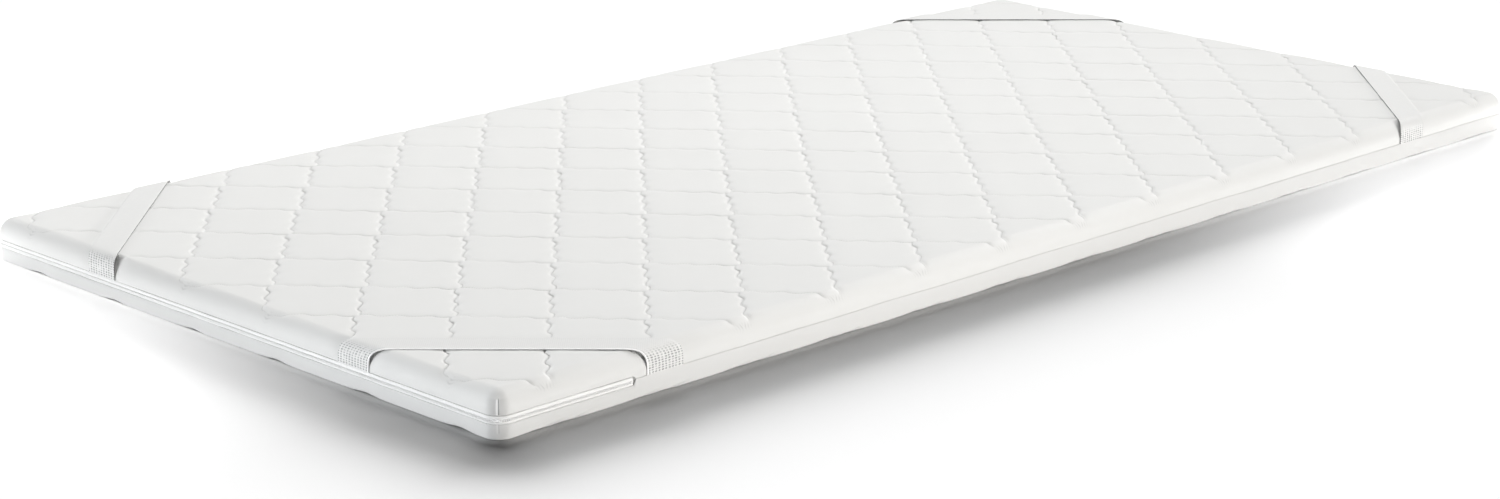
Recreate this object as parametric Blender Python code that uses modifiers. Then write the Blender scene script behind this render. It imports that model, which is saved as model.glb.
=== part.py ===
"""Mattress topper: a quilted cover in two halves on its filling, closed by a zip, with an
elastic strap across each corner.

Metres, +Z up. X runs along the topper and Y across it. The origin is the middle of the
underside. The zip runs round the -X end and a short way along both long sides.
"""

import math
from collections import namedtuple

import bmesh
import bpy
from mathutils import Vector

# Overall sizes
LENGTH = 2.000
WIDTH = 1.010
CORNER_RADIUS = 0.022
PIECE_GAP = 0.0003
CUT_TOLERANCE = 0.000001

# Heights above the surface that the topper rests on
GROOVE_HEIGHT = 0.0517
SEAM_HEIGHT = 0.0235

# Quilting of the top: diamonds whose diagonals run along X and Y, sewn with wavy lines
DIAMOND_LENGTH = 0.1541
DIAMOND_WIDTH = 0.1685
CROWN = 0.0043
CROWN_RUN = 0.040
FIRST_CROSSING = Vector((-0.9894, -0.4106))
WAVES_PER_EDGE = 3
WAVE_HEIGHT = 0.0035
INNER_DIAMOND = 0.62

# Rounded shoulder between the top and the side
SHOULDER_RUN = 0.019
SHOULDER_RISE = 0.022
SHOULDER_TURNS = (30, 60, 90)
SHOULDER_FACETS = 5
EDGE_SPACING = 0.009

# Side seam and zip
ZIP_REACH = 0.2014
ZIP_CLEARANCE = 0.003
ZIP_BAND = 0.0094
ZIP_RECESS = 0.0016
SEAM_RECESS = 0.0009
RECESS_STEP = 0.0010
TAPE_HEIGHT = 0.0034
TAPE_THICKNESS = 0.0012
COIL_HEIGHT = 0.0020
COIL_THICKNESS = 0.0010
CORNER_STEPS = 8

# Underside: a small rolled edge, lifted where the quilting of the under panel meets it
ROLL_RADIUS = 0.0065
ROLL_TURNS = (0, 40, 70)
SCALLOP_LIFT = 0.0012
SCALLOP_DRAW_IN = 3.0
SCALLOP_WIDTH = 0.009
UNDER_CROSSING = Vector((-1.000, -0.440))
STATIONS_PER_DIAMOND = 8

# Elastic straps
STRAP_WIDTH = 0.040
STRAP_THICKNESS = 0.0012
STRAP_REACH = 0.2505
STRAP_RUN = 0.026
STRAP_SQUARENESS = 2.9
STRAP_TURN_STEPS = 9
STRAP_FLAT_STEPS = 3
STRAP_ACROSS = 2

ZIP_END_X = -LENGTH / 2 + ZIP_REACH
RECESS_RAMP = (ZIP_END_X + ZIP_CLEARANCE, ZIP_END_X + 2 * ZIP_CLEARANCE)
CREAM = (0.830, 0.828, 0.815, 1.0)
SNOW = (0.880, 0.880, 0.875, 1.0)
ELASTIC = (0.800, 0.800, 0.790, 1.0)

# One ring of the side: how far inside the outermost face and how high it lies, the turn of
# the cloth from lying to upright in degrees, and the cloth's run beyond the shoulder's start
Ring = namedtuple("Ring", "inset height turn cloth_run")


def start_scene(name):
    """Clears the scene and returns a new collection for the parts."""
    for old in list(bpy.data.objects):
        bpy.data.objects.remove(old, do_unlink=True)
    collection = bpy.data.collections.new(name)
    bpy.context.scene.collection.children.link(collection)
    return collection


def cloth_material(name, color, roughness):
    material = bpy.data.materials.new(name)
    material.use_nodes = True
    shader = material.node_tree.nodes["Principled BSDF"]
    shader.inputs["Base Color"].default_value = color
    shader.inputs["Roughness"].default_value = roughness
    shader.inputs["Metallic"].default_value = 0.0
    return material


def add_part(collection, name, bm, material):
    """Turns a bmesh into one named object of the collection."""
    mesh = bpy.data.meshes.new(name)
    bm.to_mesh(mesh)
    bm.free()
    mesh.materials.append(material)
    mesh.shade_smooth()
    mesh.set_sharp_from_angle(angle=math.radians(40))
    part = bpy.data.objects.new(name, mesh)
    collection.objects.link(part)
    return part


# Quilting


def crossing(column, row):
    """Where two stitched lines of the top cross, where column and row add to an even number."""
    return FIRST_CROSSING + Vector((column * DIAMOND_LENGTH / 2, row * DIAMOND_WIDTH / 2))


def line_distances(point, origin):
    """How far a point is from the nearest stitched line of each of the two directions."""
    u = (point.x - origin.x) / DIAMOND_LENGTH
    v = (point.y - origin.y) / DIAMOND_WIDTH
    line_spacing = DIAMOND_LENGTH * DIAMOND_WIDTH / math.hypot(DIAMOND_LENGTH, DIAMOND_WIDTH)
    return [abs(w - round(w)) * line_spacing for w in (u + v, u - v)]


def puff(distance):
    """How high the cloth stands above the stitches at this distance from the nearest line."""
    share = min(distance / CROWN_RUN, 1.0)
    return CROWN * (1.0 - (1.0 - share) ** 2)


def stitched_line(start, end):
    """One wavy stitched line between two crossings: its ends and each wave's two peaks."""
    upper, lower = (start, end) if start.y > end.y else (end, start)
    sideways = math.copysign(WAVE_HEIGHT, lower.x - upper.x)
    peaks = 2 * WAVES_PER_EDGE
    points = [upper.copy()]
    for peak in range(peaks):
        share = (peak + 0.5) / peaks
        shift = Vector((sideways if peak % 2 == 0 else -sideways, 0.0))
        points.append(upper.lerp(lower, share) + shift)
    points.append(lower.copy())
    return points if upper is start else points[::-1]


def add_diamond(bm, shared, column, row):
    """One puffed diamond: a wavy stitched rim, a raised inner diamond and a crown."""

    def vertex(point, height):
        key = (round(point.x, 5), round(point.y, 5))
        if key not in shared:
            shared[key] = bm.verts.new((point.x, point.y, GROOVE_HEIGHT + height))
        return shared[key]

    middle = crossing(column, row)
    corners = [crossing(column + dx, row + dy) for dx, dy in ((1, 0), (0, 1), (-1, 0), (0, -1))]
    inner_points = [middle.lerp(corner, INNER_DIAMOND) for corner in corners]
    inner_height = puff(min(line_distances(inner_points[0], FIRST_CROSSING)))
    inner = [vertex(point, inner_height) for point in inner_points]
    crown = vertex(middle, CROWN)
    for side in range(4):
        following = (side + 1) % 4
        rim = [vertex(point, 0.0) for point in stitched_line(corners[side], corners[following])]
        half = len(rim) // 2
        for index in range(len(rim) - 1):
            near = inner[side] if index < half else inner[following]
            bm.faces.new((rim[index], rim[index + 1], near))
        bm.faces.new((inner[side], rim[half], inner[following]))
        bm.faces.new((inner[side], inner[following], crown))


def quilted_top():
    """The quilted face of the top, as an open surface a little larger than the topper."""
    bm = bmesh.new()
    shared = {}
    columns = range(-1, math.ceil(LENGTH / DIAMOND_LENGTH * 2) + 2)
    rows = range(-2, math.ceil(WIDTH / DIAMOND_WIDTH * 2) + 2)
    for column in columns:
        for row in rows:
            if (column + row) % 2 == 1:
                add_diamond(bm, shared, column, row)
    return bm


# Outline and side


def cut(bm, point, normal, clear):
    """Cuts an open surface along a plane, and clears what lies beyond it if asked to."""
    everything = bm.verts[:] + bm.edges[:] + bm.faces[:]
    bmesh.ops.bisect_plane(
        bm, geom=everything, dist=CUT_TOLERANCE, plane_co=point, plane_no=normal, clear_outer=clear
    )


def trim_to_shoulder(bm):
    """Cuts the quilted face to the line where the shoulder starts, with round corners."""
    half_x = LENGTH / 2 - SHOULDER_RUN
    half_y = WIDTH / 2 - SHOULDER_RUN
    radius = CORNER_RADIUS - SHOULDER_RUN
    for sign in (-1, 1):
        cut(bm, (sign * half_x, 0, 0), (sign, 0, 0), True)
        cut(bm, (0, sign * half_y, 0), (0, sign, 0), True)
    for sx in (-1, 1):
        for sy in (-1, 1):
            for facet in range(1, SHOULDER_FACETS):
                angle = math.radians(90 * facet / SHOULDER_FACETS)
                out = Vector((sx * math.cos(angle), sy * math.sin(angle), 0))
                middle = Vector((sx * (half_x - radius), sy * (half_y - radius), 0))
                cut(bm, middle + out * radius, out, True)
    for x in RECESS_RAMP:
        cut(bm, (x, 0, 0), (1, 0, 0), False)


def rim_loop(bm):
    """The open edge's vertices in order, counter-clockwise from above."""
    edges = [edge for edge in bm.edges if edge.is_boundary]
    following = {}
    for edge in edges:
        loop = edge.link_loops[0]
        following[loop.vert] = loop.link_loop_next.vert
    start = edges[0].link_loops[0].vert
    loop = [start]
    while following[loop[-1]] is not start:
        loop.append(following[loop[-1]])
    return loop


def thin_out(bm, spacing):
    """Merges rim vertices that lie closer together than this, except at corners and the zip's end."""
    loop = rim_loop(bm)
    kept = [loop[0]]
    targets = {}
    for vertex in loop[1:]:
        at_corner = abs(foot_and_out(vertex.co)[1].x) not in (0.0, 1.0)
        at_zip_end = min(abs(vertex.co.x - x) for x in RECESS_RAMP) < PIECE_GAP
        if (vertex.co - kept[-1].co).length > spacing or at_corner or at_zip_end:
            kept.append(vertex)
        else:
            targets[vertex] = kept[-1]
    bmesh.ops.weld_verts(bm, targetmap=targets)


def foot_and_out(point):
    """The nearest point of the rectangle between the corners' centres, and the way out from it."""
    half_x = LENGTH / 2 - CORNER_RADIUS
    half_y = WIDTH / 2 - CORNER_RADIUS
    foot = Vector((min(max(point.x, -half_x), half_x), min(max(point.y, -half_y), half_y)))
    out = Vector((point.x, point.y)) - foot
    return foot, out.normalized()


def recess_depth(point):
    """How far the side is drawn in at the seam: deeper where the zip sits in it."""
    return ZIP_RECESS if point.x < sum(RECESS_RAMP) / 2 else SEAM_RECESS


def add_ring(bm, loop, place):
    """A new ring of vertices outside a loop, joined to it by faces; place says where each one lies."""
    ring = [bm.verts.new(place(*foot_and_out(vertex.co))) for vertex in loop]
    for index, vertex in enumerate(loop):
        following = (index + 1) % len(loop)
        bm.faces.new((vertex, ring[index], ring[following], loop[following]))
    return ring


def close_flat(bm, loop):
    """Closes a flat loop with a fan of faces from its middle."""
    face = bm.faces.new(loop)
    bmesh.ops.poke(bm, faces=[face])


def shoulder_place(ring):
    """Where a ring of the shoulder lies, with the quilting running over it and fading down the side."""
    turn = math.radians(ring.turn)
    fade = 1.0 - ring.turn / 90.0

    def place(foot, out):
        cloth = foot + out * (CORNER_RADIUS - SHOULDER_RUN + ring.cloth_run)
        relief = puff(min(line_distances(cloth, FIRST_CROSSING))) * fade
        reach = CORNER_RADIUS - ring.inset + relief * math.sin(turn)
        flat = foot + out * reach
        return (flat.x, flat.y, ring.height + relief * math.cos(turn))

    return place


def seam_place(height, depth_share):
    """Where a ring beside the seam lies: drawn in by a share of the recess."""

    def place(foot, out):
        flat = foot + out * (CORNER_RADIUS - depth_share * recess_depth(foot))
        return (flat.x, flat.y, height)

    return place


def upper_cover():
    """The top half of the filled topper, from the seam to the quilted crown."""
    bm = quilted_top()
    trim_to_shoulder(bm)
    thin_out(bm, EDGE_SPACING)
    loop = rim_loop(bm)
    for degrees in SHOULDER_TURNS:
        turn = math.radians(degrees)
        ring = Ring(
            inset=SHOULDER_RUN * (1 - math.sin(turn)),
            height=GROOVE_HEIGHT - SHOULDER_RISE * (1 - math.cos(turn)),
            turn=degrees,
            cloth_run=turn * (SHOULDER_RUN + SHOULDER_RISE) / 2,
        )
        loop = add_ring(bm, loop, shoulder_place(ring))
    loop = add_ring(bm, loop, seam_place(SEAM_HEIGHT + ZIP_BAND / 2 + PIECE_GAP, 1.0))
    loop = add_ring(bm, loop, seam_place(SEAM_HEIGHT + PIECE_GAP / 2, 1.0))
    close_flat(bm, loop)
    bmesh.ops.recalc_face_normals(bm, faces=bm.faces[:])
    return bm


def stations(half, first, spacing):
    """Points along one straight edge, in even steps counted from the quilting's first crossing."""
    low = math.ceil((-half - first) / spacing)
    high = math.floor((half - first) / spacing)
    return [first + spacing * step for step in range(low, high + 1)]


def outline_points():
    """Points round the topper's outline, counter-clockwise from above."""
    half_x = LENGTH / 2 - CORNER_RADIUS
    half_y = WIDTH / 2 - CORNER_RADIUS
    step_x = DIAMOND_LENGTH / STATIONS_PER_DIAMOND
    step_y = DIAMOND_WIDTH / STATIONS_PER_DIAMOND
    along = [
        x
        for x in stations(half_x - EDGE_SPACING, UNDER_CROSSING.x, step_x)
        if abs(x - ZIP_END_X) > EDGE_SPACING
    ]
    along = sorted(along + list(RECESS_RAMP))
    across = stations(half_y - EDGE_SPACING, UNDER_CROSSING.y, step_y)
    sides = (
        [Vector((half_x, y)) for y in across],
        [Vector((x, half_y)) for x in reversed(along)],
        [Vector((-half_x, y)) for y in reversed(across)],
        [Vector((x, -half_y)) for x in along],
    )
    corners = ((half_x, half_y), (-half_x, half_y), (-half_x, -half_y), (half_x, -half_y))
    points = []
    for quarter, (feet, corner) in enumerate(zip(sides, corners)):
        out = turned(90 * quarter) * CORNER_RADIUS
        points += [foot + out for foot in feet]
        for step in range(CORNER_STEPS + 1):
            angle = 90 * (quarter + step / CORNER_STEPS)
            points.append(Vector(corner) + turned(angle) * CORNER_RADIUS)
    return points


def turned(degrees):
    """The unit vector this many degrees from +X."""
    angle = math.radians(degrees)
    return Vector((math.cos(angle), math.sin(angle)))


def scallop(edge_point):
    """How far the bottom edge is lifted where the under panel's stitched lines meet it."""
    lift = 0.0
    for distance in line_distances(edge_point, UNDER_CROSSING):
        lift += SCALLOP_LIFT * math.exp(-((distance / SCALLOP_WIDTH) ** 2))
    return lift


def roll_place(degrees):
    """Where a ring of the rolled bottom edge lies, from upright at 0 degrees towards flat at 90."""
    turn = math.radians(degrees)

    def place(foot, out):
        lift = scallop(foot + out * CORNER_RADIUS)
        inset = ROLL_RADIUS * (1 - math.cos(turn)) + SCALLOP_DRAW_IN * lift * math.sin(turn)
        flat = foot + out * (CORNER_RADIUS - inset)
        return (flat.x, flat.y, ROLL_RADIUS * (1 - math.sin(turn)) + lift * math.cos(turn / 2))

    return place


def rest_place(foot, out):
    """Where the flat underside starts."""
    lift = scallop(foot + out * CORNER_RADIUS)
    flat = foot + out * (CORNER_RADIUS - ROLL_RADIUS - 2 * SCALLOP_DRAW_IN * lift)
    return (flat.x, flat.y, 0.0)


def lower_cover():
    """The bottom half of the filled topper, from the seam to the flat underside."""
    bm = bmesh.new()
    seam = seam_place(SEAM_HEIGHT - PIECE_GAP / 2, 1.0)
    top = [bm.verts.new(seam(*foot_and_out(point))) for point in outline_points()]
    band_foot = SEAM_HEIGHT - ZIP_BAND / 2 - PIECE_GAP
    loop = add_ring(bm, top, seam_place(band_foot, 1.0))
    loop = add_ring(bm, loop, seam_place(band_foot - RECESS_STEP, 0.0))
    for degrees in ROLL_TURNS:
        loop = add_ring(bm, loop, roll_place(degrees))
    loop = add_ring(bm, loop, rest_place)
    close_flat(bm, loop)
    close_flat(bm, top)
    bmesh.ops.recalc_face_normals(bm, faces=bm.faces[:])
    return bm


# Zip


def zip_path(inset):
    """The zip's route from above, this far inside the outermost face of the topper."""
    half_x = LENGTH / 2 - CORNER_RADIUS
    half_y = WIDTH / 2 - CORNER_RADIUS
    radius = CORNER_RADIUS - inset
    points = [Vector((ZIP_END_X, half_y + radius))]
    for quarter, corner in ((1, (-half_x, half_y)), (2, (-half_x, -half_y))):
        for step in range(CORNER_STEPS + 1):
            angle = 90 * (quarter + step / CORNER_STEPS)
            points.append(Vector(corner) + turned(angle) * radius)
    points.append(Vector((ZIP_END_X, -half_y - radius)))
    return points


def zip_strip(collection, name, low, height, thickness, material):
    """One strip of the zip, seated in the recess of the two covers."""
    bm = bmesh.new()
    row = [bm.verts.new((point.x, point.y, low)) for point in zip_path(ZIP_RECESS - PIECE_GAP)]
    edges = [bm.edges.new(pair) for pair in zip(row, row[1:])]
    raised = bmesh.ops.extrude_edge_only(bm, edges=edges)["geom"]
    for vertex in raised:
        if isinstance(vertex, bmesh.types.BMVert):
            vertex.co.z = low + height
    strip = add_part(collection, name, bm, material)
    face_outwards(strip)
    add_thickness(strip, thickness)
    return strip


def face_outwards(part):
    """Turns an open strip's faces away from the topper's middle."""
    mesh = part.data
    bm = bmesh.new()
    bm.from_mesh(mesh)
    bm.normal_update()
    wrong = [face for face in bm.faces if face.normal.dot(away_from_body(face)) < 0]
    bmesh.ops.reverse_faces(bm, faces=wrong)
    bm.to_mesh(mesh)
    bm.free()


def away_from_body(face):
    """The way out of the topper at a face that lies on it."""
    centre = face.calc_center_median()
    foot, out = foot_and_out(centre)
    return Vector((out.x, out.y, 1.0 if centre.z > GROOVE_HEIGHT else 0.0))


def add_thickness(part, thickness):
    """Thickens an open surface outwards."""
    solidify = part.modifiers.new("thickness", "SOLIDIFY")
    solidify.thickness = thickness
    solidify.offset = 1.0
    solidify.use_even_offset = True


def add_zip(collection):
    """The coil along the seam, with a tape above it and one below."""
    tape = cloth_material("zip_tape", SNOW, 0.75)
    coil = cloth_material("zip_coil", SNOW, 0.40)
    tape_low = SEAM_HEIGHT + COIL_HEIGHT / 2 + PIECE_GAP
    zip_strip(collection, "zip_tape_upper", tape_low, TAPE_HEIGHT, TAPE_THICKNESS, tape)
    tape_low = SEAM_HEIGHT - COIL_HEIGHT / 2 - PIECE_GAP - TAPE_HEIGHT
    zip_strip(collection, "zip_tape_lower", tape_low, TAPE_HEIGHT, TAPE_THICKNESS, tape)
    coil_low = SEAM_HEIGHT - COIL_HEIGHT / 2
    zip_strip(collection, "zip_coil", coil_low, COIL_HEIGHT, COIL_THICKNESS, coil)


# Elastic straps


def strap_side_rows(foot_height):
    """A strap's run from its sewn end to the top, as distances inside the side and heights."""
    lying = GROOVE_HEIGHT + CROWN + PIECE_GAP
    rise_start = SEAM_HEIGHT + ZIP_BAND / 2 + 2 * PIECE_GAP
    rows = [(-PIECE_GAP, foot_height), (-PIECE_GAP, rise_start + PIECE_GAP)]
    power = 2.0 / STRAP_SQUARENESS
    for step in range(1, STRAP_TURN_STEPS + 1):
        turn = math.radians(90 * step / STRAP_TURN_STEPS)
        run = STRAP_RUN * (1 - math.cos(turn) ** power)
        rows.append((run - PIECE_GAP, rise_start + (lying - rise_start) * math.sin(turn) ** power))
    return rows


def strap_rows(leg, end_foot, side_foot):
    """One lengthwise line of a strap in the corner where X and Y count in from the topper's sides."""
    rows = []
    for inside, height in strap_side_rows(end_foot):
        rows.append(Vector((inside, leg - inside, height)))
    across = []
    for inside, height in strap_side_rows(side_foot):
        across.append(Vector((leg - inside, inside, height)))
    start, end = rows[-1], across[-1]
    for step in range(1, STRAP_FLAT_STEPS):
        rows.append(start.lerp(end, step / STRAP_FLAT_STEPS))
    return rows + across[::-1]


def add_strap(collection, name, sx, sy, material):
    """An elastic strap across the corner that lies towards sx and sy."""
    over_seam = SEAM_HEIGHT + RECESS_STEP
    over_zip = SEAM_HEIGHT + ZIP_BAND / 2 + 2 * PIECE_GAP
    end_foot = over_zip if sx < 0 else over_seam
    bm = bmesh.new()
    lines = []
    for step in range(STRAP_ACROSS + 1):
        aside = STRAP_WIDTH * (step / STRAP_ACROSS - 0.5)
        leg = STRAP_REACH + aside * math.sqrt(2)
        line = []
        for point in strap_rows(leg, end_foot, over_seam):
            place = (sx * (LENGTH / 2 - point.x), sy * (WIDTH / 2 - point.y), point.z)
            line.append(bm.verts.new(place))
        lines.append(line)
    for near, far in zip(lines, lines[1:]):
        for index in range(len(near) - 1):
            bm.faces.new((near[index], near[index + 1], far[index + 1], far[index]))
    strap = add_part(collection, name, bm, material)
    face_outwards(strap)
    add_thickness(strap, STRAP_THICKNESS)


def add_straps(collection):
    """One strap across each corner: front is -Y and left is -X."""
    elastic = cloth_material("woven_elastic", ELASTIC, 0.80)
    corners = {
        "strap_front_left": (-1, -1),
        "strap_front_right": (1, -1),
        "strap_back_left": (-1, 1),
        "strap_back_right": (1, 1),
    }
    for name, (sx, sy) in corners.items():
        add_strap(collection, name, sx, sy, elastic)


def main():
    collection = start_scene("mattress_topper")
    knit = cloth_material("quilted_knit", CREAM, 0.85)
    plain = cloth_material("under_knit", CREAM, 0.85)
    add_part(collection, "upper_cover", upper_cover(), knit)
    add_part(collection, "lower_cover", lower_cover(), plain)
    add_zip(collection)
    add_straps(collection)


main()
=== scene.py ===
# %% [markdown]
# # A mattress topper with corner straps
#
# The real thing is a foam or wadding slab, 2 m long and 56 mm high, in a two-part cover.
# The upper cover is quilted in wavy diamonds, the lower one closes it from below, and a zip
# round one end joins the two. An elastic strap crosses each corner. This lesson dresses the
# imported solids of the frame: each solid stays in place for the physics, and a finer piece
# stands for it in the picture.

# %% Load the frame
import math

import bmesh
import bpy
import numpy as np
from mathutils import Matrix, Vector, kdtree, noise


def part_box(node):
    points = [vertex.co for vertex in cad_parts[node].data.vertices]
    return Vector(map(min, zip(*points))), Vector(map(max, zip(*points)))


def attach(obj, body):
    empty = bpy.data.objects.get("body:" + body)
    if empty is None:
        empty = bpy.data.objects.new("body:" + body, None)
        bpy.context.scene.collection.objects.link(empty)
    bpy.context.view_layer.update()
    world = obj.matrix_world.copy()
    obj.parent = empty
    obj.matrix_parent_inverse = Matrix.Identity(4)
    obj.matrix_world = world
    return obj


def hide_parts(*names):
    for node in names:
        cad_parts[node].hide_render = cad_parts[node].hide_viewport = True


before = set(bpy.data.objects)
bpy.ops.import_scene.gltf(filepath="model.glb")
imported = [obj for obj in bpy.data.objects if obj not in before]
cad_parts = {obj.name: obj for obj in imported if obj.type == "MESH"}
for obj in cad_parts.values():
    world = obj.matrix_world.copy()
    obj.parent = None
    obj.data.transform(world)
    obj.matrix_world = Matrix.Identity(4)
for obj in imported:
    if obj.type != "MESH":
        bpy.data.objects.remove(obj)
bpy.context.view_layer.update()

print("nodes in the frame:", sorted(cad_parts))

# %% [markdown]
# ## Sizes that come from the frame
#
# The solids say where everything is, so the outline, the crown and the seam are read from
# their boxes. Only sizes that a box can't tell are written down, such as the quilting's
# diamonds. They were read off a photo of the real cover, in metres.

# %% Read the solids' boxes
lower_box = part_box("lower_cover")
upper_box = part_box("upper_cover")
HALF_LENGTH = lower_box[1].x
HALF_WIDTH = lower_box[1].y
CROWN_HEIGHT = upper_box[1].z
SEAM_HEIGHT = (upper_box[0].z + lower_box[1].z) / 2
PIECE_GAP = upper_box[0].z - lower_box[1].z
ZIP_END_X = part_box("zip_coil")[1].x
print(f"topper {2 * HALF_LENGTH:.3f} by {2 * HALF_WIDTH:.3f} m, crown at {CROWN_HEIGHT:.4f} m")
print(f"seam at {SEAM_HEIGHT:.4f} m, the zip ends at x = {ZIP_END_X:.4f} m")

# %% [markdown]
# ## Camera
#
# The camera stands where the photographer stood: low, past the near corner, with a long
# lens. The aim point and the lens came from fitting the slab's edges to its real size.

# %% Place the camera
CAMERA_PLACE = Vector((-3.0916, -3.0064, 1.1682))
CAMERA_AIM = Vector((-0.2737, -0.1642, 0.0))
CAMERA_LENS = 75.82
CAMERA_ROLL = math.radians(-0.061)
SENSOR_WIDTH = 36.0
VIEW_END = 200.0


def add_camera():
    """A nearly level camera that looks from its place at its aim."""
    data = bpy.data.cameras.new("camera")
    data.lens = CAMERA_LENS
    data.sensor_width = SENSOR_WIDTH
    data.clip_end = VIEW_END
    camera = bpy.data.objects.new("camera", data)
    bpy.context.scene.collection.objects.link(camera)
    look = (CAMERA_AIM - CAMERA_PLACE).to_track_quat("-Z", "Y").to_matrix()
    turn = look @ Matrix.Rotation(CAMERA_ROLL, 3, "Z")
    camera.matrix_world = Matrix.Translation(CAMERA_PLACE) @ turn.to_4x4()
    bpy.context.scene.camera = camera
    return camera


camera = add_camera()
print("camera", [round(value, 3) for value in camera.location])

# %% [markdown]
# ## Floor
#
# The topper lies on a wide white floor, which isn't part of it.
# It lies a hair below the underside, or the two faces would flicker into each other. It has
# no gloss at all, because a pale floor that shines would look white from one side only. The
# floor and the topper are each in a collection of their own, so that a light can be linked
# to one of them and leave the other alone.

# %% Add the floor
FLOOR_SIZE = 60.0
FLOOR_DROP = 0.0002
FLOOR_COLOUR = (0.955, 0.955, 0.955)


def add_collection(name):
    """A collection that lights can be linked to, so that they light only what is in it."""
    collection = bpy.data.collections.new(name)
    bpy.context.scene.collection.children.link(collection)
    return collection


def plain_material(name, colour, roughness):
    """A new material and its main shader."""
    material = bpy.data.materials.new(name)
    material.use_nodes = True
    shader = material.node_tree.nodes["Principled BSDF"]
    shader.inputs["Base Color"].default_value = (*colour, 1.0)
    shader.inputs["Roughness"].default_value = roughness
    return material, shader


def add_floor():
    """A wide pale floor, which isn't part of the object."""
    bm = bmesh.new()
    bmesh.ops.create_grid(bm, x_segments=1, y_segments=1, size=FLOOR_SIZE / 2)
    mesh = bpy.data.meshes.new("floor")
    bm.to_mesh(mesh)
    bm.free()
    paint, shader = plain_material("floor_paint", FLOOR_COLOUR, 0.9)
    shader.inputs["Specular IOR Level"].default_value = 0.0
    mesh.materials.append(paint)
    floor = bpy.data.objects.new("floor", mesh)
    studio_floor.objects.link(floor)
    floor.location.z = -FLOOR_DROP


topper_pieces = add_collection("topper_pieces")
studio_floor = add_collection("studio_floor")
add_floor()
print("collections:", topper_pieces.name, studio_floor.name)

# %% [markdown]
# ## Light
#
# White cloth on a white floor is all about light. Each light is placed by the direction it
# comes from, as two angles round the topper. A sun has no place, only a direction and a
# spread, a panel is a soft rectangle, and a spot is a round pool that fades at its rim.

# %% Kinds of light
LAMP_HEIGHT = 0.02
SUN_AWAY = 6.0
SPOT_SOFTNESS = 0.3


def towards(azimuth, elevation):
    """The direction from the topper to a light, from its angles in degrees."""
    across, up = math.radians(azimuth), math.radians(elevation)
    return Vector((math.cos(up) * math.cos(across), math.cos(up) * math.sin(across), math.sin(up)))


def add_light(data, place, direction, colour, receivers):
    """Stands a light at a place, shining against the given direction on its receivers."""
    data.color = colour
    data.cycles.use_multiple_importance_sampling = False
    light = bpy.data.objects.new(data.name, data)
    bpy.context.scene.collection.objects.link(light)
    light.location = place
    light.rotation_euler = (-direction).to_track_quat("-Z", "Y").to_euler()
    light.visible_camera = False
    light.light_linking.receiver_collection = receivers


def add_sun(name, azimuth, elevation, spread, strength, colour, receivers):
    """A wide, soft sun."""
    data = bpy.data.lights.new(name, "SUN")
    data.angle = math.radians(spread)
    data.energy = strength
    direction = towards(azimuth, elevation)
    add_light(data, direction * SUN_AWAY, direction, colour, receivers)


def add_panel(name, aim, azimuth, elevation, away, size, power, colour):
    """A soft rectangular light that shines at its aim on the topper from some way off."""
    data = bpy.data.lights.new(name, "AREA")
    data.shape = "RECTANGLE"
    data.size, data.size_y = size
    data.energy = power
    direction = towards(azimuth, elevation)
    place = Vector((*aim, LAMP_HEIGHT)) + direction * away
    add_light(data, place, direction, colour, topper_pieces)


def add_spot(name, aim, away, angles, cone, blend, power, colour, receivers):
    """A soft round spot, which fades out towards its rim."""
    data = bpy.data.lights.new(name, "SPOT")
    data.spot_size = math.radians(cone)
    data.spot_blend = blend
    data.shadow_soft_size = SPOT_SOFTNESS
    data.energy = power
    direction = towards(*angles)
    place = Vector((*aim, LAMP_HEIGHT)) + direction * away
    add_light(data, place, direction, colour, receivers)


def add_sky(strength):
    """A faint even light from all round, behind which the camera sees white."""
    world = bpy.data.worlds.new("studio")
    world.use_nodes = True
    tree = world.node_tree
    background = tree.nodes["Background"]
    background.inputs["Color"].default_value = (*WHITE, 1.0)
    seen = tree.nodes.new("ShaderNodeLightPath").outputs["Is Camera Ray"]
    choice = tree.nodes.new("ShaderNodeMath")
    choice.operation = "MAXIMUM"
    choice.inputs[1].default_value = strength
    tree.links.new(seen, choice.inputs[0])
    tree.links.new(choice.outputs[0], background.inputs["Strength"])
    bpy.context.scene.world = world


print("a light at 30, 14 lies towards", [round(value, 2) for value in towards(30, 14)])

# %% [markdown]
# Three wide, low suns behind the topper light only the floor: they keep it white and throw
# a long soft shadow forwards. A higher sun and two soft spots fill that shadow towards its
# rim and its far ends. Everything else lights only the topper. One sun rakes across the
# quilting, without burning out the sides that face it, and big panels overhead fill the
# shoulders. Two low panels and two low spots lift the near sides. The corner that faces the
# camera lies between them, so it stays a little darker, as in the photo.

# %% Switch on the lights
WHITE, COOL, WARM = (1.0, 1.0, 1.0), (0.955, 0.98, 1.0), (1.0, 0.985, 0.96)
KEY_COLOUR = (1.0, 0.998, 0.985)
add_sun("floor_sun_a", 30, 14, 24, 3.80, WHITE, studio_floor)
add_sun("floor_sun_b", 50, 14, 24, 4.55, WHITE, studio_floor)
add_sun("floor_sun_c", 65, 14, 24, 3.05, WHITE, studio_floor)
add_sun("floor_sun_high", 50, 50, 24, 0.83, WHITE, studio_floor)
add_spot("floor_spot_left", (-1.12, 0.58), 2.2, (180, 62), 38, 0.45, 170.0, WHITE, studio_floor)
add_spot("floor_spot_right", (1.0, -0.62), 2.2, (-90, 62), 38, 0.45, 148.0, WHITE, studio_floor)
add_sun("key_sun", 28, 33, 26, 2.28, KEY_COLOUR, topper_pieces)
add_panel("over_panel", (0.0, 0.0), 45, 84, 4.5, (4.0, 4.0), 55.0, WHITE)
add_panel("far_panel", (0.6, 0.2), 45, 84, 2.0, (1.5, 1.0), 17.0, WHITE)
add_panel("shoulder_panel", (-1.0, 0.4), 120, 50, 1.5, (1.0, 0.6), 7.0, WHITE)
add_panel("left_panel", (-1.0, -0.15), 150, 6, 6.0, (3.0, 0.8), 172.0, COOL)
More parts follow.
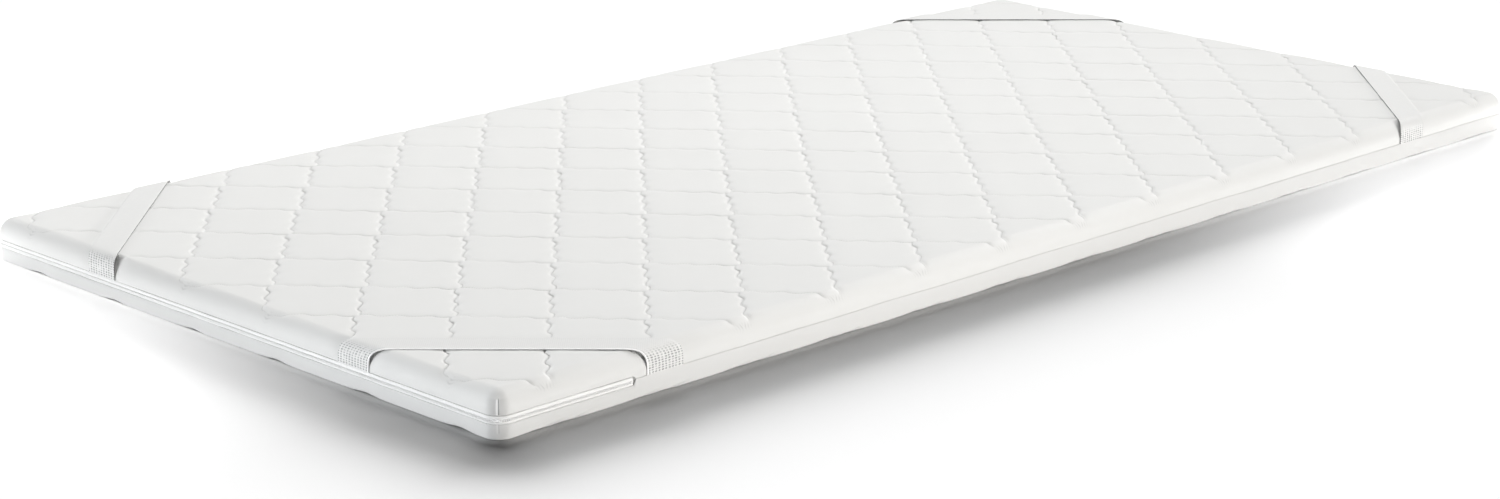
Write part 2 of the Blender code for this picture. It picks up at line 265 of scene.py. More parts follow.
add_spot("left_spot", (-1.0, -0.60), 4.0, (155, 8), 22, 1.0, 252.0, COOL, topper_pieces)
add_panel("right_panel", (-0.15, -0.5), -72, 6, 6.0, (3.0, 0.8), 258.0, WARM)
add_spot("right_spot", (-0.75, -0.505), 4.0, (-68, 8), 42, 1.0, 185.0, WARM, topper_pieces)
add_sky(0.02)
bpy.context.scene.view_settings.view_transform = "Standard"
print("lights:", [light.name for light in bpy.data.lights])

# %% [markdown]
# ## Quilting as zigzag lines
#
# On a quilting machine each needle sews one line that swings from side to side while the
# cloth runs through, and it never crosses its neighbour: two lines only come close at each
# turn. So the diamonds are the spaces between zigzags. Each swing carries three small
# waves. One formula gives the line's X for any Y, on the cloth as it lay flat.

# %% The stitched lines on the flat cloth
DIAMOND_LENGTH = 0.1541
DIAMOND_WIDTH = 0.1685
TURN_GAP = 0.0065
WAVES_PER_EDGE = 3
WAVE_HEIGHT = 0.0035
TOP_CROSSING = Vector((-1.0037, -0.4199))
UNDER_CROSSING = Vector((-1.000, -0.440))


def line_x(line, y, crossing):
    """X of one zigzag line at places along Y, counted from one crossing of the pattern."""
    step = (y - crossing.y) / (DIAMOND_WIDTH / 2) - line
    swing = np.abs((step + 1) % 2 - 1)
    reach = DIAMOND_LENGTH / 2 - TURN_GAP
    wave = WAVE_HEIGHT * np.sin(2 * math.pi * WAVES_PER_EDGE * swing)
    return crossing.x + line * DIAMOND_LENGTH / 2 + TURN_GAP / 2 + swing * reach + wave


def lines_within(half_x, crossing):
    """The numbers of the zigzag lines that come within half_x of the middle."""
    pitch = DIAMOND_LENGTH / 2
    first = math.floor((-half_x - crossing.x) / pitch) - 1
    last = math.ceil((half_x - crossing.x) / pitch)
    return range(first, last + 1)


print("zigzag lines on the top:", len(lines_within(HALF_LENGTH, TOP_CROSSING)))

# %% [markdown]
# ## How far each point is from a stitch
#
# The filling pushes the cloth up between the stitches, and the height of a point depends
# on how far away the nearest stitch is. A k-d tree of points along the lines answers that
# quickly. The cloth rises fast beside the stitch, where the thread pulls a crease, and is
# nearly flat in the middle, because this filling is thin and firm.

# %% Distance to the nearest stitch, and the pillow's rise
CROWN = 0.0043
CROWN_RUN = 0.034
GROOVE_DEPTH = 0.0018
CREASE_SHARE = 0.60
CREASE_RUN = 0.0019
BIAS_SHARE = 0.3
LINE_STEP = 0.0006


def stitch_tree(half_x, half_y, crossing):
    """A k-d tree of points along all the stitched lines of one panel."""
    places = np.arange(-half_y, half_y, LINE_STEP)
    numbers = lines_within(half_x, crossing)
    tree = kdtree.KDTree(len(places) * len(numbers))
    for line in numbers:
        steps = np.mod((places - crossing.y) / (DIAMOND_WIDTH / 2) - line, 2.0)
        for x, y, step in zip(line_x(line, places, crossing), places, steps):
            tree.insert((x, y, 0.0), int(step * 1000))
    tree.balance()
    return tree


def bias(step):
    """How much deeper a stitch lies where its line runs with the knit's stretchy bias."""
    return 1.0 + BIAS_SHARE * np.clip(2.0 * np.sin(math.pi * step), -0.5, 1.0)


def pillow(distance):
    """The share of the full rise at this distance from the nearest stitch."""
    swell = 1.0 - (1.0 - np.minimum(distance / CROWN_RUN, 1.0)) ** 2
    crease = 1.0 - np.exp(-((distance / CREASE_RUN) ** 1.4))
    return (1.0 - CREASE_SHARE) * swell + CREASE_SHARE * crease


print("rise at 2, 5 and 20 mm:", [round(float(pillow(d)), 2) for d in (0.002, 0.005, 0.02)])

# %% [markdown]
# ## From flat cloth to the filled shape
#
# Each cover is one quilted panel whose border turns over the filling's edge. A table of
# rings says how: how much cloth has been used, how far out the ring lies, how high, and
# how far the cloth has turned from lying flat. Near the zip the border ends in a recess,
# and past it the two covers meet at a plain seam, so there are two tables, and a point
# takes a share of each.

# %% How a border is laid in rings
CORNER_RADIUS = 0.0206
SHOULDER_RUN = 0.019
SHOULDER_RISE = 0.0205
SHOULDER_STEPS = 12
FLAT_STEP = 0.0040
SIDE_STEPS = 4
RIM_TURNS = (30, 60, 90)
RECESS_STEP = 0.001


def flat_rings(run):
    """Rings on the flat part of the border, up to where it starts to turn over."""
    flat = CORNER_RADIUS - run
    count = max(1, round(flat / FLAT_STEP))
    return [(flat * step / count, flat * step / count, 0.0, 0.0) for step in range(count)]


def turned_rings(run, rise, steps):
    """Rings over the rounded edge."""
    flat = CORNER_RADIUS - run
    rings = []
    for step in range(steps + 1):
        turn = math.pi / 2 * step / steps
        used = flat + turn * (run + rise) / 2
        outwards = flat + run * math.sin(turn)
        rings.append((used, outwards, rise * (1 - math.cos(turn)), math.degrees(turn)))
    return rings


def rim_rings(start, rise, side_drop, edge_drop, seam_drop, rim, lip):
    """Rings down the side, round the rim of a given radius and into a recess of some depth."""
    used, outwards = start[0], start[1]
    radius, depth = rim
    rings = []
    drops = [rise + (side_drop - rise) * step / SIDE_STEPS for step in range(1, SIDE_STEPS)]
    for drop in drops + [edge_drop - radius]:
        share = (drop - rise) / (edge_drop - radius - rise)
        rings.append((used + drop - rise, outwards + lip * share**2, drop, 90.0))
    used, outwards = rings[-1][0], outwards + lip
    for turn in RIM_TURNS:
        over = math.radians(turn)
        inwards = outwards - radius * (1 - math.cos(over))
        drop = edge_drop - radius * (1 - math.sin(over))
        rings.append((used + radius * over, inwards, drop, 90.0 + turn))
    used = rings[-1][0]
    rings.append((used + RECESS_STEP, outwards - depth, edge_drop, 180.0))
    rings.append((used + 3 * RECESS_STEP, outwards - depth, seam_drop, 180.0))
    return rings


def border_rings(run, rise, steps, side_drop, edge_drop, seam_drop, rim, lip=0.0):
    """The whole border: flat, over the rounded edge, down the side and in to the seam."""
    over = turned_rings(run, rise, steps)
    last = rim_rings(over[-1], rise, side_drop, edge_drop, seam_drop, rim, lip)
    return np.array(flat_rings(run) + over + last)


shoulder = (SHOULDER_RUN, SHOULDER_RISE, SHOULDER_STEPS)
print("rings over the shoulder:", len(turned_rings(*shoulder)))

# %% [markdown]
# The upper cover has a deep, soft shoulder, and the lower one only a small roll at the
# floor. At the zip both end in a rim with a recess behind it for the tapes. At the plain
# seam the two rims nearly touch, and the lower one stands out in a small lip.

# %% The rings of both covers
ROLL_RADIUS = 0.0019
ROLL_STEPS = 6
ZIP_TOP = 0.0285
ZIP_FOOT = 0.0182
ZIP_RIM = (0.0005, 0.0020)
ZIP_RAMP = (ZIP_END_X + 0.0008, ZIP_END_X + 0.0048)
PLAIN_SEAM = 0.0251
SEAM_RIM = (0.0002, 0.0005)
SEAM_CREASE = 0.00010
SEAM_LIP = 0.0004
GROOVE_HEIGHT = CROWN_HEIGHT - CROWN

upper_seam = GROOVE_HEIGHT - SEAM_HEIGHT - PIECE_GAP / 2
lower_seam = SEAM_HEIGHT - PIECE_GAP / 2
roll = (ROLL_RADIUS, ROLL_RADIUS, ROLL_STEPS)
upper_side, lower_side = GROOVE_HEIGHT - ZIP_TOP - ZIP_RIM[0], ZIP_FOOT - ZIP_RIM[0]
upper_edge, lower_edge = GROOVE_HEIGHT - PLAIN_SEAM - SEAM_CREASE, PLAIN_SEAM - SEAM_CREASE
upper_rings = (
    border_rings(*shoulder, upper_side, GROOVE_HEIGHT - ZIP_TOP, upper_seam, ZIP_RIM),
    border_rings(*shoulder, upper_side, upper_edge, upper_seam, SEAM_RIM),
)
lower_rings = (
    border_rings(*roll, lower_side, ZIP_FOOT, lower_seam, ZIP_RIM),
    border_rings(*roll, lower_side, lower_edge, lower_seam, SEAM_RIM, SEAM_LIP),
)
print("rings of the upper border:", len(upper_rings[0]), "and of the lower:", len(lower_rings[0]))

# %% [markdown]
# Cloth on a filled edge is never quite even. Where the under panel's stitched lines meet
# the bottom edge, they lift it in shallow scallops, and each taut strap dents the shoulder
# that it crosses. Both depend only on the place along the edge. Slow noise adds the rest.

# %% Small formulas for an uneven edge
SCALLOP_LIFT = 0.0006
SCALLOP_WIDTH = 0.012
DENT_PLACE = 0.252
DENT_WIDTH = 0.036


def ease(value, start, end):
    """A soft step from 0 at the start to 1 at the end."""
    share = np.clip((value - start) / (end - start), 0.0, 1.0)
    return share * share * (3.0 - 2.0 * share)


def slow_noise(x, y, size, seed):
    """Smooth unevenness of a given size, from about -0.5 to 0.5."""
    flat = [noise.noise((a / size, b / size, seed)) for a, b in zip(x.ravel(), y.ravel())]
    return np.array(flat).reshape(x.shape)


def scallops(x, y, crossing):
    """How far the bottom edge is lifted by the straight courses of the stitched lines."""
    across = (x - crossing.x) / (DIAMOND_LENGTH / 2)
    along = (y - crossing.y) / (DIAMOND_WIDTH / 2)
    spacing = 1 / math.hypot(2 / DIAMOND_LENGTH, 2 / DIAMOND_WIDTH)
    lift = 0.0
    for course in (across - along, across + along):
        distance = np.abs((course + 1) % 2 - 1) * spacing
        lift = lift + SCALLOP_LIFT * np.exp(-((distance / SCALLOP_WIDTH) ** 2))
    return lift


def dents(edge_x, edge_y):
    """How much the straps have drawn in the shoulder at places along the edge."""
    total = 0.0
    for half, place in ((HALF_LENGTH, edge_x), (HALF_WIDTH, edge_y)):
        from_corner = half - np.abs(place)
        total = total + np.exp(-(((from_corner - DENT_PLACE) / DENT_WIDTH) ** 4))
    return total


print("a strap's dent at its middle:", round(float(dents(HALF_LENGTH - DENT_PLACE, 0.0)), 2))

# %% [markdown]
# The shape of a panel is then a formula: give it a place on the flat cloth and it gives the
# point in space and the way that the cloth faces there. At a corner the border fans round.
# The quilting's relief fades towards the seam, and past the zip that seam wanders up and
# down a little, as a hand-fed seam does. The mesh and the stitches both use this one
# formula, so they lie on each other.

# %% One panel's shape as a formula
SIDE_BULGE = 0.0004
SIDE_WAVE = 0.0005
SIDE_WAVE_SIZE = 0.045
SIDE_WAVE_OUT = 0.05
SIDE_TURNS = (12.0, 50.0)
SCALLOP_DRAW_IN = 2.0
SCALLOP_FADE = 0.012
DENT_DEPTH = 0.0030
SEAM_CALM = 0.014
SEAM_WANDER = 0.0014
SEAM_WANDER_SIZE = 0.13
SEAM_WANDER_START = (ZIP_RAMP[0], ZIP_RAMP[1] + 0.08)
SPARE_CLOTH = 0.01


class Panel:
    """One quilted panel with its border: where the flat cloth ends up on the filled slab."""

    def __init__(self, crossing, rings, facing, base_height, swell, depth, side_depth):
        self.crossing = crossing
        self.rings = rings
        self.facing = facing
        self.base_height = base_height
        self.swell = swell
        self.depth = depth
        self.side_depth = side_depth
        self.half_x = HALF_LENGTH - CORNER_RADIUS
        self.half_y = HALF_WIDTH - CORNER_RADIUS
        spare = rings[1][-1, 0] + SPARE_CLOTH
        self.tree = stitch_tree(self.half_x + spare, self.half_y + spare, crossing)

    def border(self, x, excess):
        """Run, drop and turn at places on the border, with the zip's share mixed in."""
        zip_share = 1.0 - ease(x, *ZIP_RAMP)
        numbers = np.arange(len(self.rings[0]))
        ring = np.interp(excess, self.rings[0][:, 0], numbers)
        columns = []
        for column in (1, 2, 3):
            at_zip = np.interp(ring, numbers, self.rings[0][:, column])
            plain = np.interp(ring, numbers, self.rings[1][:, column])
            columns.append(plain + (at_zip - plain) * zip_share)
        return columns

    def outwards(self, u, v):
        """The way out of the slab in plan as an angle, and how far past the flat part."""
        over_x = np.maximum(np.abs(u) - self.half_x, 0.0)
        over_y = np.maximum(np.abs(v) - self.half_y, 0.0)
        excess = np.maximum(over_x, over_y)
        share = np.minimum(over_x, over_y) / np.maximum(excess, 1e-9)
        angle = math.pi / 4 * share
        return np.where(over_x >= over_y, angle, math.pi / 2 - angle), excess

    def quilt_relief(self, distance, deeper, upright, turn, shown):
        """How far the quilting lifts the cloth: the pillow's rise, less the stitch's depth."""
        depth = self.depth + (self.side_depth - self.depth) * ease(turn, *SIDE_TURNS)
        return self.swell * (1.0 - upright) - depth * shown * deeper * (1.0 - pillow(distance))

    def side_relief(self, height, drop, around):
        """How far the filling pushes the side out, most halfway down."""
        low, high = sorted((self.base_height, self.base_height - self.facing * drop.max()))
        share = np.sin(math.pi * np.clip((height - low) / (high - low), 0.0, 1.0))
        return (SIDE_BULGE + SIDE_WAVE * around) * share

    def scalloped(self, edge_x, edge_y, excess, over, run, height):
        """Run and height at the bottom edge, with its scallops."""
        flat = CORNER_RADIUS - ROLL_RADIUS
        lift = scallops(edge_x, edge_y, self.crossing) * (excess > 0.0)
        lift = lift * ease(excess, flat - SCALLOP_FADE, flat)
        turned = np.minimum(over, math.pi / 2)
        fade = 1.0 - ease(height, ROLL_RADIUS, ZIP_FOOT)
        run = run - SCALLOP_DRAW_IN * lift * np.cos(turned)
        return run, height + lift * np.cos((math.pi / 2 - turned) / 2) * fade

    def lie(self, u, v, distance, deeper):
        """Points in space and their outward normals, for places on the flat cloth."""
        angle, excess = self.outwards(u, v)
        out_x, out_y = np.sign(u) * np.cos(angle), np.sign(v) * np.sin(angle)
        foot_x = np.clip(u, -self.half_x, self.half_x)
        foot_y = np.clip(v, -self.half_y, self.half_y)
        edge_x, edge_y = foot_x + out_x * CORNER_RADIUS, foot_y + out_y * CORNER_RADIUS
        run, drop, turn = self.border(foot_x, excess)
        over = np.radians(np.minimum(turn, 180.0))
        normal = np.stack(
            [out_x * np.sin(over), out_y * np.sin(over), self.facing * np.cos(over)], axis=-1
        )
        upright = np.clip(turn / 90.0, 0.0, 1.0)
        seen = 1.0 - np.clip((turn - 90.0) / 60.0, 0.0, 1.0)
        height = self.base_height - self.facing * drop
        near_seam = 1.0 - np.abs(height - SEAM_HEIGHT) / SEAM_CALM
        near_seam = np.clip(near_seam, 0.0, 1.0) * upright
        relief = self.quilt_relief(distance, deeper, upright, turn, seen * (1.0 - near_seam))
        around_x, around_y = foot_x + out_x * SIDE_WAVE_OUT, foot_y + out_y * SIDE_WAVE_OUT
        around = slow_noise(around_x, around_y, SIDE_WAVE_SIZE, 2.5)
        relief = relief + self.side_relief(height, drop, around) * upright * seen
        if self.facing > 0:
            rounded = np.sin(np.radians(np.minimum(turn, 90.0) * 2.0)) * (excess > 0.0)
            relief = relief - DENT_DEPTH * dents(edge_x, edge_y) * rounded
        else:
            run, height = self.scalloped(edge_x, edge_y, excess, over, run, height)
        wander = slow_noise(edge_x, edge_y, SEAM_WANDER_SIZE, 5.5)
        wander = SEAM_WANDER * wander * ease(foot_x, *SEAM_WANDER_START)
        height = height + wander * near_seam
        place = np.stack([foot_x + out_x * run, foot_y + out_y * run, height], axis=-1)
        return place + normal * relief[..., None], normal

    def distances(self, u, v):
        """How far places are from the nearest stitch, and how deep that one lies."""
        found = [self.tree.find((x, y, 0.0))[1:] for x, y in zip(u.ravel(), v.ravel())]
        step, away = np.array(found).T
        return away.reshape(u.shape), bias(step.reshape(u.shape) / 1000)


top_panel = Panel(TOP_CROSSING, upper_rings, 1, GROOVE_HEIGHT, CROWN, GROOVE_DEPTH, 0.00012)
under_panel = Panel(UNDER_CROSSING, lower_rings, -1, 0.0, 0.0, 0.0, 0.0008)
print(f"flat part of the top: {2 * top_panel.half_x:.3f} by {2 * top_panel.half_y:.3f} m")

# %% [markdown]
# ## The quilted mesh
#
# A plain grid would need millions of faces to draw a crisp crease. So the grid follows the
# sewing instead: its columns run along the zigzags, close together beside each stitch and
# far apart on the pillow, and its rows run across.

# %% Rows, and columns that follow the zigzags
TOP_SHARES = (0.0, 0.03, 0.08, 0.17, 0.31, 0.50, 0.69, 0.83, 0.92, 0.97)
TOP_ROWS_PER_TURN = 22
ROW_MARGIN = 0.3


def row_places(panel, rows_per_turn):
    """Y of each row on the flat cloth: one for each ring at both sides, even ones between."""
    rings = panel.rings[0][:, 0]
    step = DIAMOND_WIDTH / 2 / rows_per_turn
    first = math.ceil((-panel.half_y - panel.crossing.y) / step + ROW_MARGIN)
    last = math.floor((panel.half_y - panel.crossing.y) / step - ROW_MARGIN)
    between = panel.crossing.y + step * np.arange(first, last + 1)
    return np.concatenate([-panel.half_y - rings[::-1], between, panel.half_y + rings])


def zigzag_columns(panel, rows, shares):
    """X of the columns in each row, where they follow the zigzags."""
    edges = [
        np.clip(line_x(line, rows, panel.crossing), -panel.half_x, panel.half_x)
        for line in lines_within(panel.half_x, panel.crossing)
    ]
    edges = [np.full_like(rows, -panel.half_x), *edges, np.full_like(rows, panel.half_x)]
    columns = []
    for left, right in zip(edges, edges[1:]):
        columns += [left + (right - left) * share for share in shares]
    return np.stack([*columns, edges[-1]], axis=1)


top_rows = row_places(top_panel, TOP_ROWS_PER_TURN)
print("rows on top:", len(top_rows))

# %% [markdown]
# On the sides there is no zigzag to follow, and columns that slant there would show in the
# smooth cloth. So they let go between the shoulder and the side and spread out evenly, with
# a few set close together where the zip ends, because the side changes quickly there.

# %% Let the columns go on the sides
UNDER_SHARES = (0.0, 0.06, 0.22, 0.50, 0.78, 0.94)
UNDER_ROWS_PER_TURN = 12
ZIP_END_COLUMNS = 10
ZIP_END_MARGIN = 0.0016
ZIP_END_SHIFT = 4
LETTING_GO_TURN = 67.0
UPRIGHT_TURN = 89.9


def even_columns(half_x, count):
    """X of evenly spread columns, with a few drawn to where the zip ends."""
    columns = np.linspace(-half_x, half_x, count)
    start, end = ZIP_RAMP[0] - ZIP_END_MARGIN, ZIP_RAMP[1] + ZIP_END_MARGIN
    marks = np.linspace(start, end, ZIP_END_COLUMNS)
    first = int(np.searchsorted(columns, marks[0])) - ZIP_END_SHIFT
    columns[first:first + len(marks)] = marks
    return columns


def let_go(panel, rows):
    """How far the columns of each row have let go of the zigzags, from 0 to 1."""
    used, turns = panel.rings[0][:, 0], panel.rings[0][:, 3]
    excess = np.maximum(np.abs(rows) - panel.half_y, 0.0)
    ring = np.interp(excess, used, np.arange(len(used)))
    first = np.argmax(turns >= LETTING_GO_TURN)
    last = np.argmax(turns >= UPRIGHT_TURN) + SIDE_STEPS - 1
    return np.clip((ring - first) / (last - first), 0.0, 1.0)


def grid_places(panel, rows, shares):
    """X and Y of the grid's places on the flat cloth."""
    middle = zigzag_columns(panel, rows, shares)
    even = even_columns(panel.half_x, middle.shape[1])[None, :]
    middle = middle + (even - middle) * let_go(panel, rows)[:, None]
    rings = panel.rings[0][1:, 0]
    before, after = -panel.half_x - rings[::-1], panel.half_x + rings
    before, after = (np.repeat(side[None, :], len(rows), axis=0) for side in (before, after))
    u = np.concatenate([before, middle, after], axis=1)
    v = np.repeat(rows[:, None], u.shape[1], axis=1)
    return u, v


top_grid = grid_places(top_panel, top_rows, TOP_SHARES)
under_rows = row_places(under_panel, UNDER_ROWS_PER_TURN)
under_grid = grid_places(under_panel, under_rows, UNDER_SHARES)
print("grids:", top_grid[0].shape, "on top and", under_grid[0].shape, "below")

# %% [markdown]
# Where a zigzag leaves the panel its columns fall together. Those points are merged, and a
# face that has lost a corner becomes a triangle.

# %% Number the vertices and make the faces
MERGE_WIDTH = 0.00002


def merged_numbers(u):
    """A vertex number for each grid place, with places that fall together sharing one."""
    fresh = np.ones(u.shape, bool)
    fresh[:, 1:] = np.diff(u, axis=1) > MERGE_WIDTH
    return (np.cumsum(fresh.ravel()) - 1).reshape(u.shape), fresh


def grid_faces(numbers, facing):
    """The faces of the grid, without the ones that have collapsed."""
    faces = []
    for row in range(numbers.shape[0] - 1):
        here, there = numbers[row], numbers[row + 1]
        for column in range(numbers.shape[1] - 1):
            corners = (here[column], here[column + 1], there[column + 1], there[column])
            face = list(dict.fromkeys(int(corner) for corner in corners))
            if len(face) > 2:
                faces.append(face if facing > 0 else face[::-1])
    return faces


def border_loop(numbers):
    """The vertex numbers round the grid's edge, in order."""
    loop = [*numbers[0, :], *numbers[:, -1], *numbers[-1, ::-1], *numbers[::-1, 0]]
    return list(dict.fromkeys(int(number) for number in loop))


print("places that fall together on top:", int((~merged_numbers(top_grid[0])[1]).sum()))

# %% [markdown]
# The formula now bends the grid into shape. A little unevenness of the filling lifts the
# flat part here and there. The border's loop is closed by a flat fan, because a filled
# piece is one closed body, and each point's place on the flat cloth is kept as a UV map, so
# that the weave can follow the cloth round its edges.

# %% Build the closed, quilted meshes
LUMP_HEIGHT = 0.0006
LUMP_SIZE = 0.09


def set_cloth_map(mesh, u, v, name):
    """Keeps each vertex's place on the flat cloth, in metres, as a UV map."""
    layer = mesh.uv_layers.new(name=name)
    corners = np.zeros(len(mesh.loops), np.int32)
    mesh.loops.foreach_get("vertex_index", corners)
    layer.data.foreach_set("uv", np.stack([u[corners], v[corners]], 1).ravel())


def quilted_mesh(name, panel, grid, lump_height):
    """The closed mesh of one cover, from its grid on the flat cloth."""
    numbers, fresh = merged_numbers(grid[0])
    u, v = grid[0][fresh], grid[1][fresh]
    places, normals = panel.lie(u, v, *panel.distances(u, v))
    calm = np.clip(panel.outwards(u, v)[1] / CORNER_RADIUS, 0.0, 1.0)
    places += normals * (lump_height * (1.0 - calm) * slow_noise(u, v, LUMP_SIZE, 0.5))[:, None]
    points = [tuple(point) for point in places]
    faces = grid_faces(numbers, panel.facing)
    loop = border_loop(numbers)
    points.append((0.0, 0.0, float(places[loop[0], 2])))
    hub = len(points) - 1
    for start, end in zip(loop, loop[1:] + loop[:1]):
        faces.append([end, start, hub] if panel.facing > 0 else [start, end, hub])
    mesh = bpy.data.meshes.new(name)
    mesh.from_pydata(points, [], faces)
    set_cloth_map(mesh, np.append(u, 0.0), np.append(v, 0.0), "cloth")
    mesh.shade_smooth()
    return mesh


top_mesh = quilted_mesh("upper_cover_quilted", top_panel, top_grid, LUMP_HEIGHT)
under_mesh = quilted_mesh("lower_cover_quilted", under_panel, under_grid, 0.0)
print("vertices:", len(top_mesh.vertices), "on top,", len(under_mesh.vertices), "below")

# %% [markdown]
# ## Stitches
#
# A lockstitch shows as a row of short bright beads, each dipping into the cloth at both
# ends. First each needle's line is walked in steps of one stitch, on the flat cloth. The
# stitches end on the shoulder, because further down the cloth swallows them.

# %% Mark the stitches on the flat cloth
STITCH_PITCH = 0.0036
STITCH_GAP = 0.0007
STITCH_SHIFT = 0.0011
SEWN_REACH = 0.014


def travelled(points):
    """How far along a row of points each one lies."""
    steps = np.linalg.norm(np.diff(points, axis=0), axis=1)
    return np.concatenate([[0.0], np.cumsum(steps)])


def sewn_course(course, offset):
    """Both ends of each stitch along a course of points on the flat cloth."""
    travel = travelled(course)
    starts = np.arange(offset, travel[-1] - STITCH_PITCH, STITCH_PITCH)
    return [
        np.stack([np.interp(marks, travel, course[:, axis]) for axis in (0, 1)], axis=1)
        for marks in (starts, starts + STITCH_PITCH - STITCH_GAP)
    ]


def zigzag_stitches(panel):
    """Both ends of every stitch of the quilting, on the flat cloth."""
    starts, ends = [], []
    reach_x, reach_y = panel.half_x + SEWN_REACH, panel.half_y + SEWN_REACH
    places = np.arange(-reach_y, reach_y, LINE_STEP)
    for line in lines_within(reach_x, panel.crossing):
        course = np.column_stack([line_x(line, places, panel.crossing), places])
        first, last = sewn_course(course, STITCH_SHIFT * (line % 3))
        inside = (np.abs(first[:, 0]) < reach_x) & (np.abs(last[:, 0]) < reach_x)
        starts.append(first[inside])
        ends.append(last[inside])
    return np.concatenate(starts), np.concatenate(ends)


quilt_starts, quilt_ends = zigzag_stitches(top_panel)
print("stitches on the top:", len(quilt_starts))

# %% [markdown]
# Stitches could be painted on, but real beads catch the light at every angle. Each bead is
# a small spindle of ten points, and one mesh holds them all. The panel's formula lays both
# ends of each in the crease.

# %% Sew with beads of thread
THREAD_RADIUS = 0.00026
THREAD_LIFT = 0.00016
SPINDLE_TIP = 0.22


def beads(starts, ends, normals, radius, lift, blunt=SPINDLE_TIP, depth=1.0):
    """Vertices and faces of beads; a small blunt makes them plump, a small depth flat."""
    count = len(starts)
    along = ends - starts
    side = np.cross(along, normals)
    side /= np.linalg.norm(side, axis=1)[:, None]
    points = np.empty((count, 10, 3))
    points[:, 0], points[:, 9] = starts, ends
    for ring, share in ((1, blunt), (5, 1.0 - blunt)):
        middle = starts + along * share + normals * lift
        for step, (aside, up) in enumerate(((1, 0), (0, 1), (-1, 0), (0, -1))):
            around = side * (aside * radius) + normals * (up * radius * depth)
            points[:, ring + step] = middle + around
    faces = []
    for step in range(4):
        following = (step + 1) % 4
        faces.append((0, 1 + step, 1 + following))
        faces.append((1 + step, 5 + step, 5 + following, 1 + following))
        faces.append((9, 5 + following, 5 + step))
    return points.reshape(-1, 3), [
        [bead * 10 + corner for corner in face] for bead in range(count) for face in faces
    ]


def bead_mesh(name, *bead_settings):
    """One smooth mesh of beads."""
    points, faces = beads(*bead_settings)
    mesh = bpy.data.meshes.new(name)
    mesh.from_pydata(points.tolist(), [], faces)
    mesh.shade_smooth()
    return mesh


def sewn_mesh(name, panel, *both_ends):
    """Beads laid on a panel along its sewn lines, down in the crease."""
    places = []
    for marks in both_ends:
        u, v = marks[:, 0], marks[:, 1]
        places.append(panel.lie(u, v, np.zeros(len(marks)), panel.distances(u, v)[1]))
    (first, normals), (last, _) = places
    return bead_mesh(name, first, last, normals, THREAD_RADIUS, THREAD_LIFT)


stitch_mesh = sewn_mesh("quilting_stitches", top_panel, quilt_starts, quilt_ends)
print("faces of thread:", len(stitch_mesh.polygons))

# %% [markdown]
# ## Zip
#
# A coil zip is two woven tapes with a row of coiled nylon between them. Here the zip runs
# round the end from one long side to the other. Its route is one half and its mirror image:
# straight along the side, round the corner and straight across the end.

# %% The zip's route
TAPE_STEP = 0.004
CORNER_POINTS = 14


def zip_route():
    """Points along the zip in plan, the way out at each, and how far along each one lies."""
    half_x, half_y = HALF_LENGTH - CORNER_RADIUS, HALF_WIDTH - CORNER_RADIUS
    straight = np.arange(ZIP_END_X, -half_x, -TAPE_STEP)
    arc = np.linspace(0.0, math.pi / 2, CORNER_POINTS)
    feet = np.array([(x, half_y) for x in straight] + [(-half_x, half_y)] * len(arc))
    ways = [(0.0, 1.0)] * len(straight) + [(-math.sin(turn), math.cos(turn)) for turn in arc]
    ways = np.array(ways)
    side = feet + ways * CORNER_RADIUS
    end_y = np.linspace(half_y, -half_y, round(2 * half_y / TAPE_STEP))[1:-1]
    end = np.column_stack([np.full_like(end_y, -HALF_LENGTH), end_y])
    mirror = np.array((1.0, -1.0))
    points = np.concatenate([side, end, side[::-1] * mirror])
    out = np.concatenate([ways, np.tile((-1.0, 0.0), (len(end), 1)), ways[::-1] * mirror])
    return points, out, travelled(points)


print(f"the zip is {zip_route()[2][-1]:.3f} m long")

# %% [markdown]
# A tape is the same all along, so a small cross-section is swept along the route. Sewn
# cloth is never dead straight, and a slow wobble keeps it from looking like a moulding.
# A third, narrow strip closes the gaps behind the coil.

# %% Sweep the tapes and the core
ZIP_PROUD = 0.0004
ZIP_LOWER = 0.0010
ZIP_WOBBLE = 0.0003
ZIP_WOBBLE_SIZE = 0.03
TAPE_DEPTH = 0.0016
TAPE_LEAN = -0.0003
TAPE_ROUNDING = 0.0004
UPPER_TAPE_TUCK = 0.0005
LOWER_TAPE_TUCK = 0.0004
CORE_OFFSETS = (-0.0003, -0.0010)
CORE_HEIGHTS = (0.0223, 0.0247)


def swept_strip(name, profile):
    """A closed strip along the zip's route; the profile gives outward offset and height."""
    points, ways, travel = zip_route()
    wobble = slow_noise(travel, travel * 0.0, ZIP_WOBBLE_SIZE, 7.5) * ZIP_WOBBLE
    vertices = []
    for point, way, lift in zip(points, ways, wobble):
        for offset, height in profile:
            x, y = point + way * (offset + ZIP_PROUD)
            vertices.append((x, y, height + lift - ZIP_LOWER))
    size = len(profile)
    faces = []
    for row in range(len(points) - 1):
        for step in range(size):
            following = (step + 1) % size
            a, b = row * size + step, row * size + following
            faces.append((a, a + size, b + size, b))
    last = (len(points) - 1) * size
    faces += [tuple(range(size)), tuple(last + step for step in reversed(range(size)))]
    mesh = bpy.data.meshes.new(name)
    mesh.from_pydata(vertices, [], faces)
    across = travelled(np.array(profile))
    set_cloth_map(mesh, np.repeat(travel, size), np.tile(across, len(points)), "weave")
    mesh.shade_smooth()
    return mesh


def tape_profile(low, high):
    """A tape's section: it leans in a little towards its upper edge, and has rounded edges."""
    return [
        (-TAPE_ROUNDING, low),
        (0.0, low + TAPE_ROUNDING),
        (TAPE_LEAN / 2, (low + high) / 2),
        (TAPE_LEAN, high - TAPE_ROUNDING),
        (TAPE_LEAN - TAPE_ROUNDING, high),
        (-TAPE_DEPTH, high),
        (-TAPE_DEPTH, low),
    ]


def core_profile():
    """The section of the strip behind the coil's turns, which closes the gaps between them."""
    (front, back), (low, high) = CORE_OFFSETS, CORE_HEIGHTS
    return [(front, low), (front, high), (back, high), (back, low)]


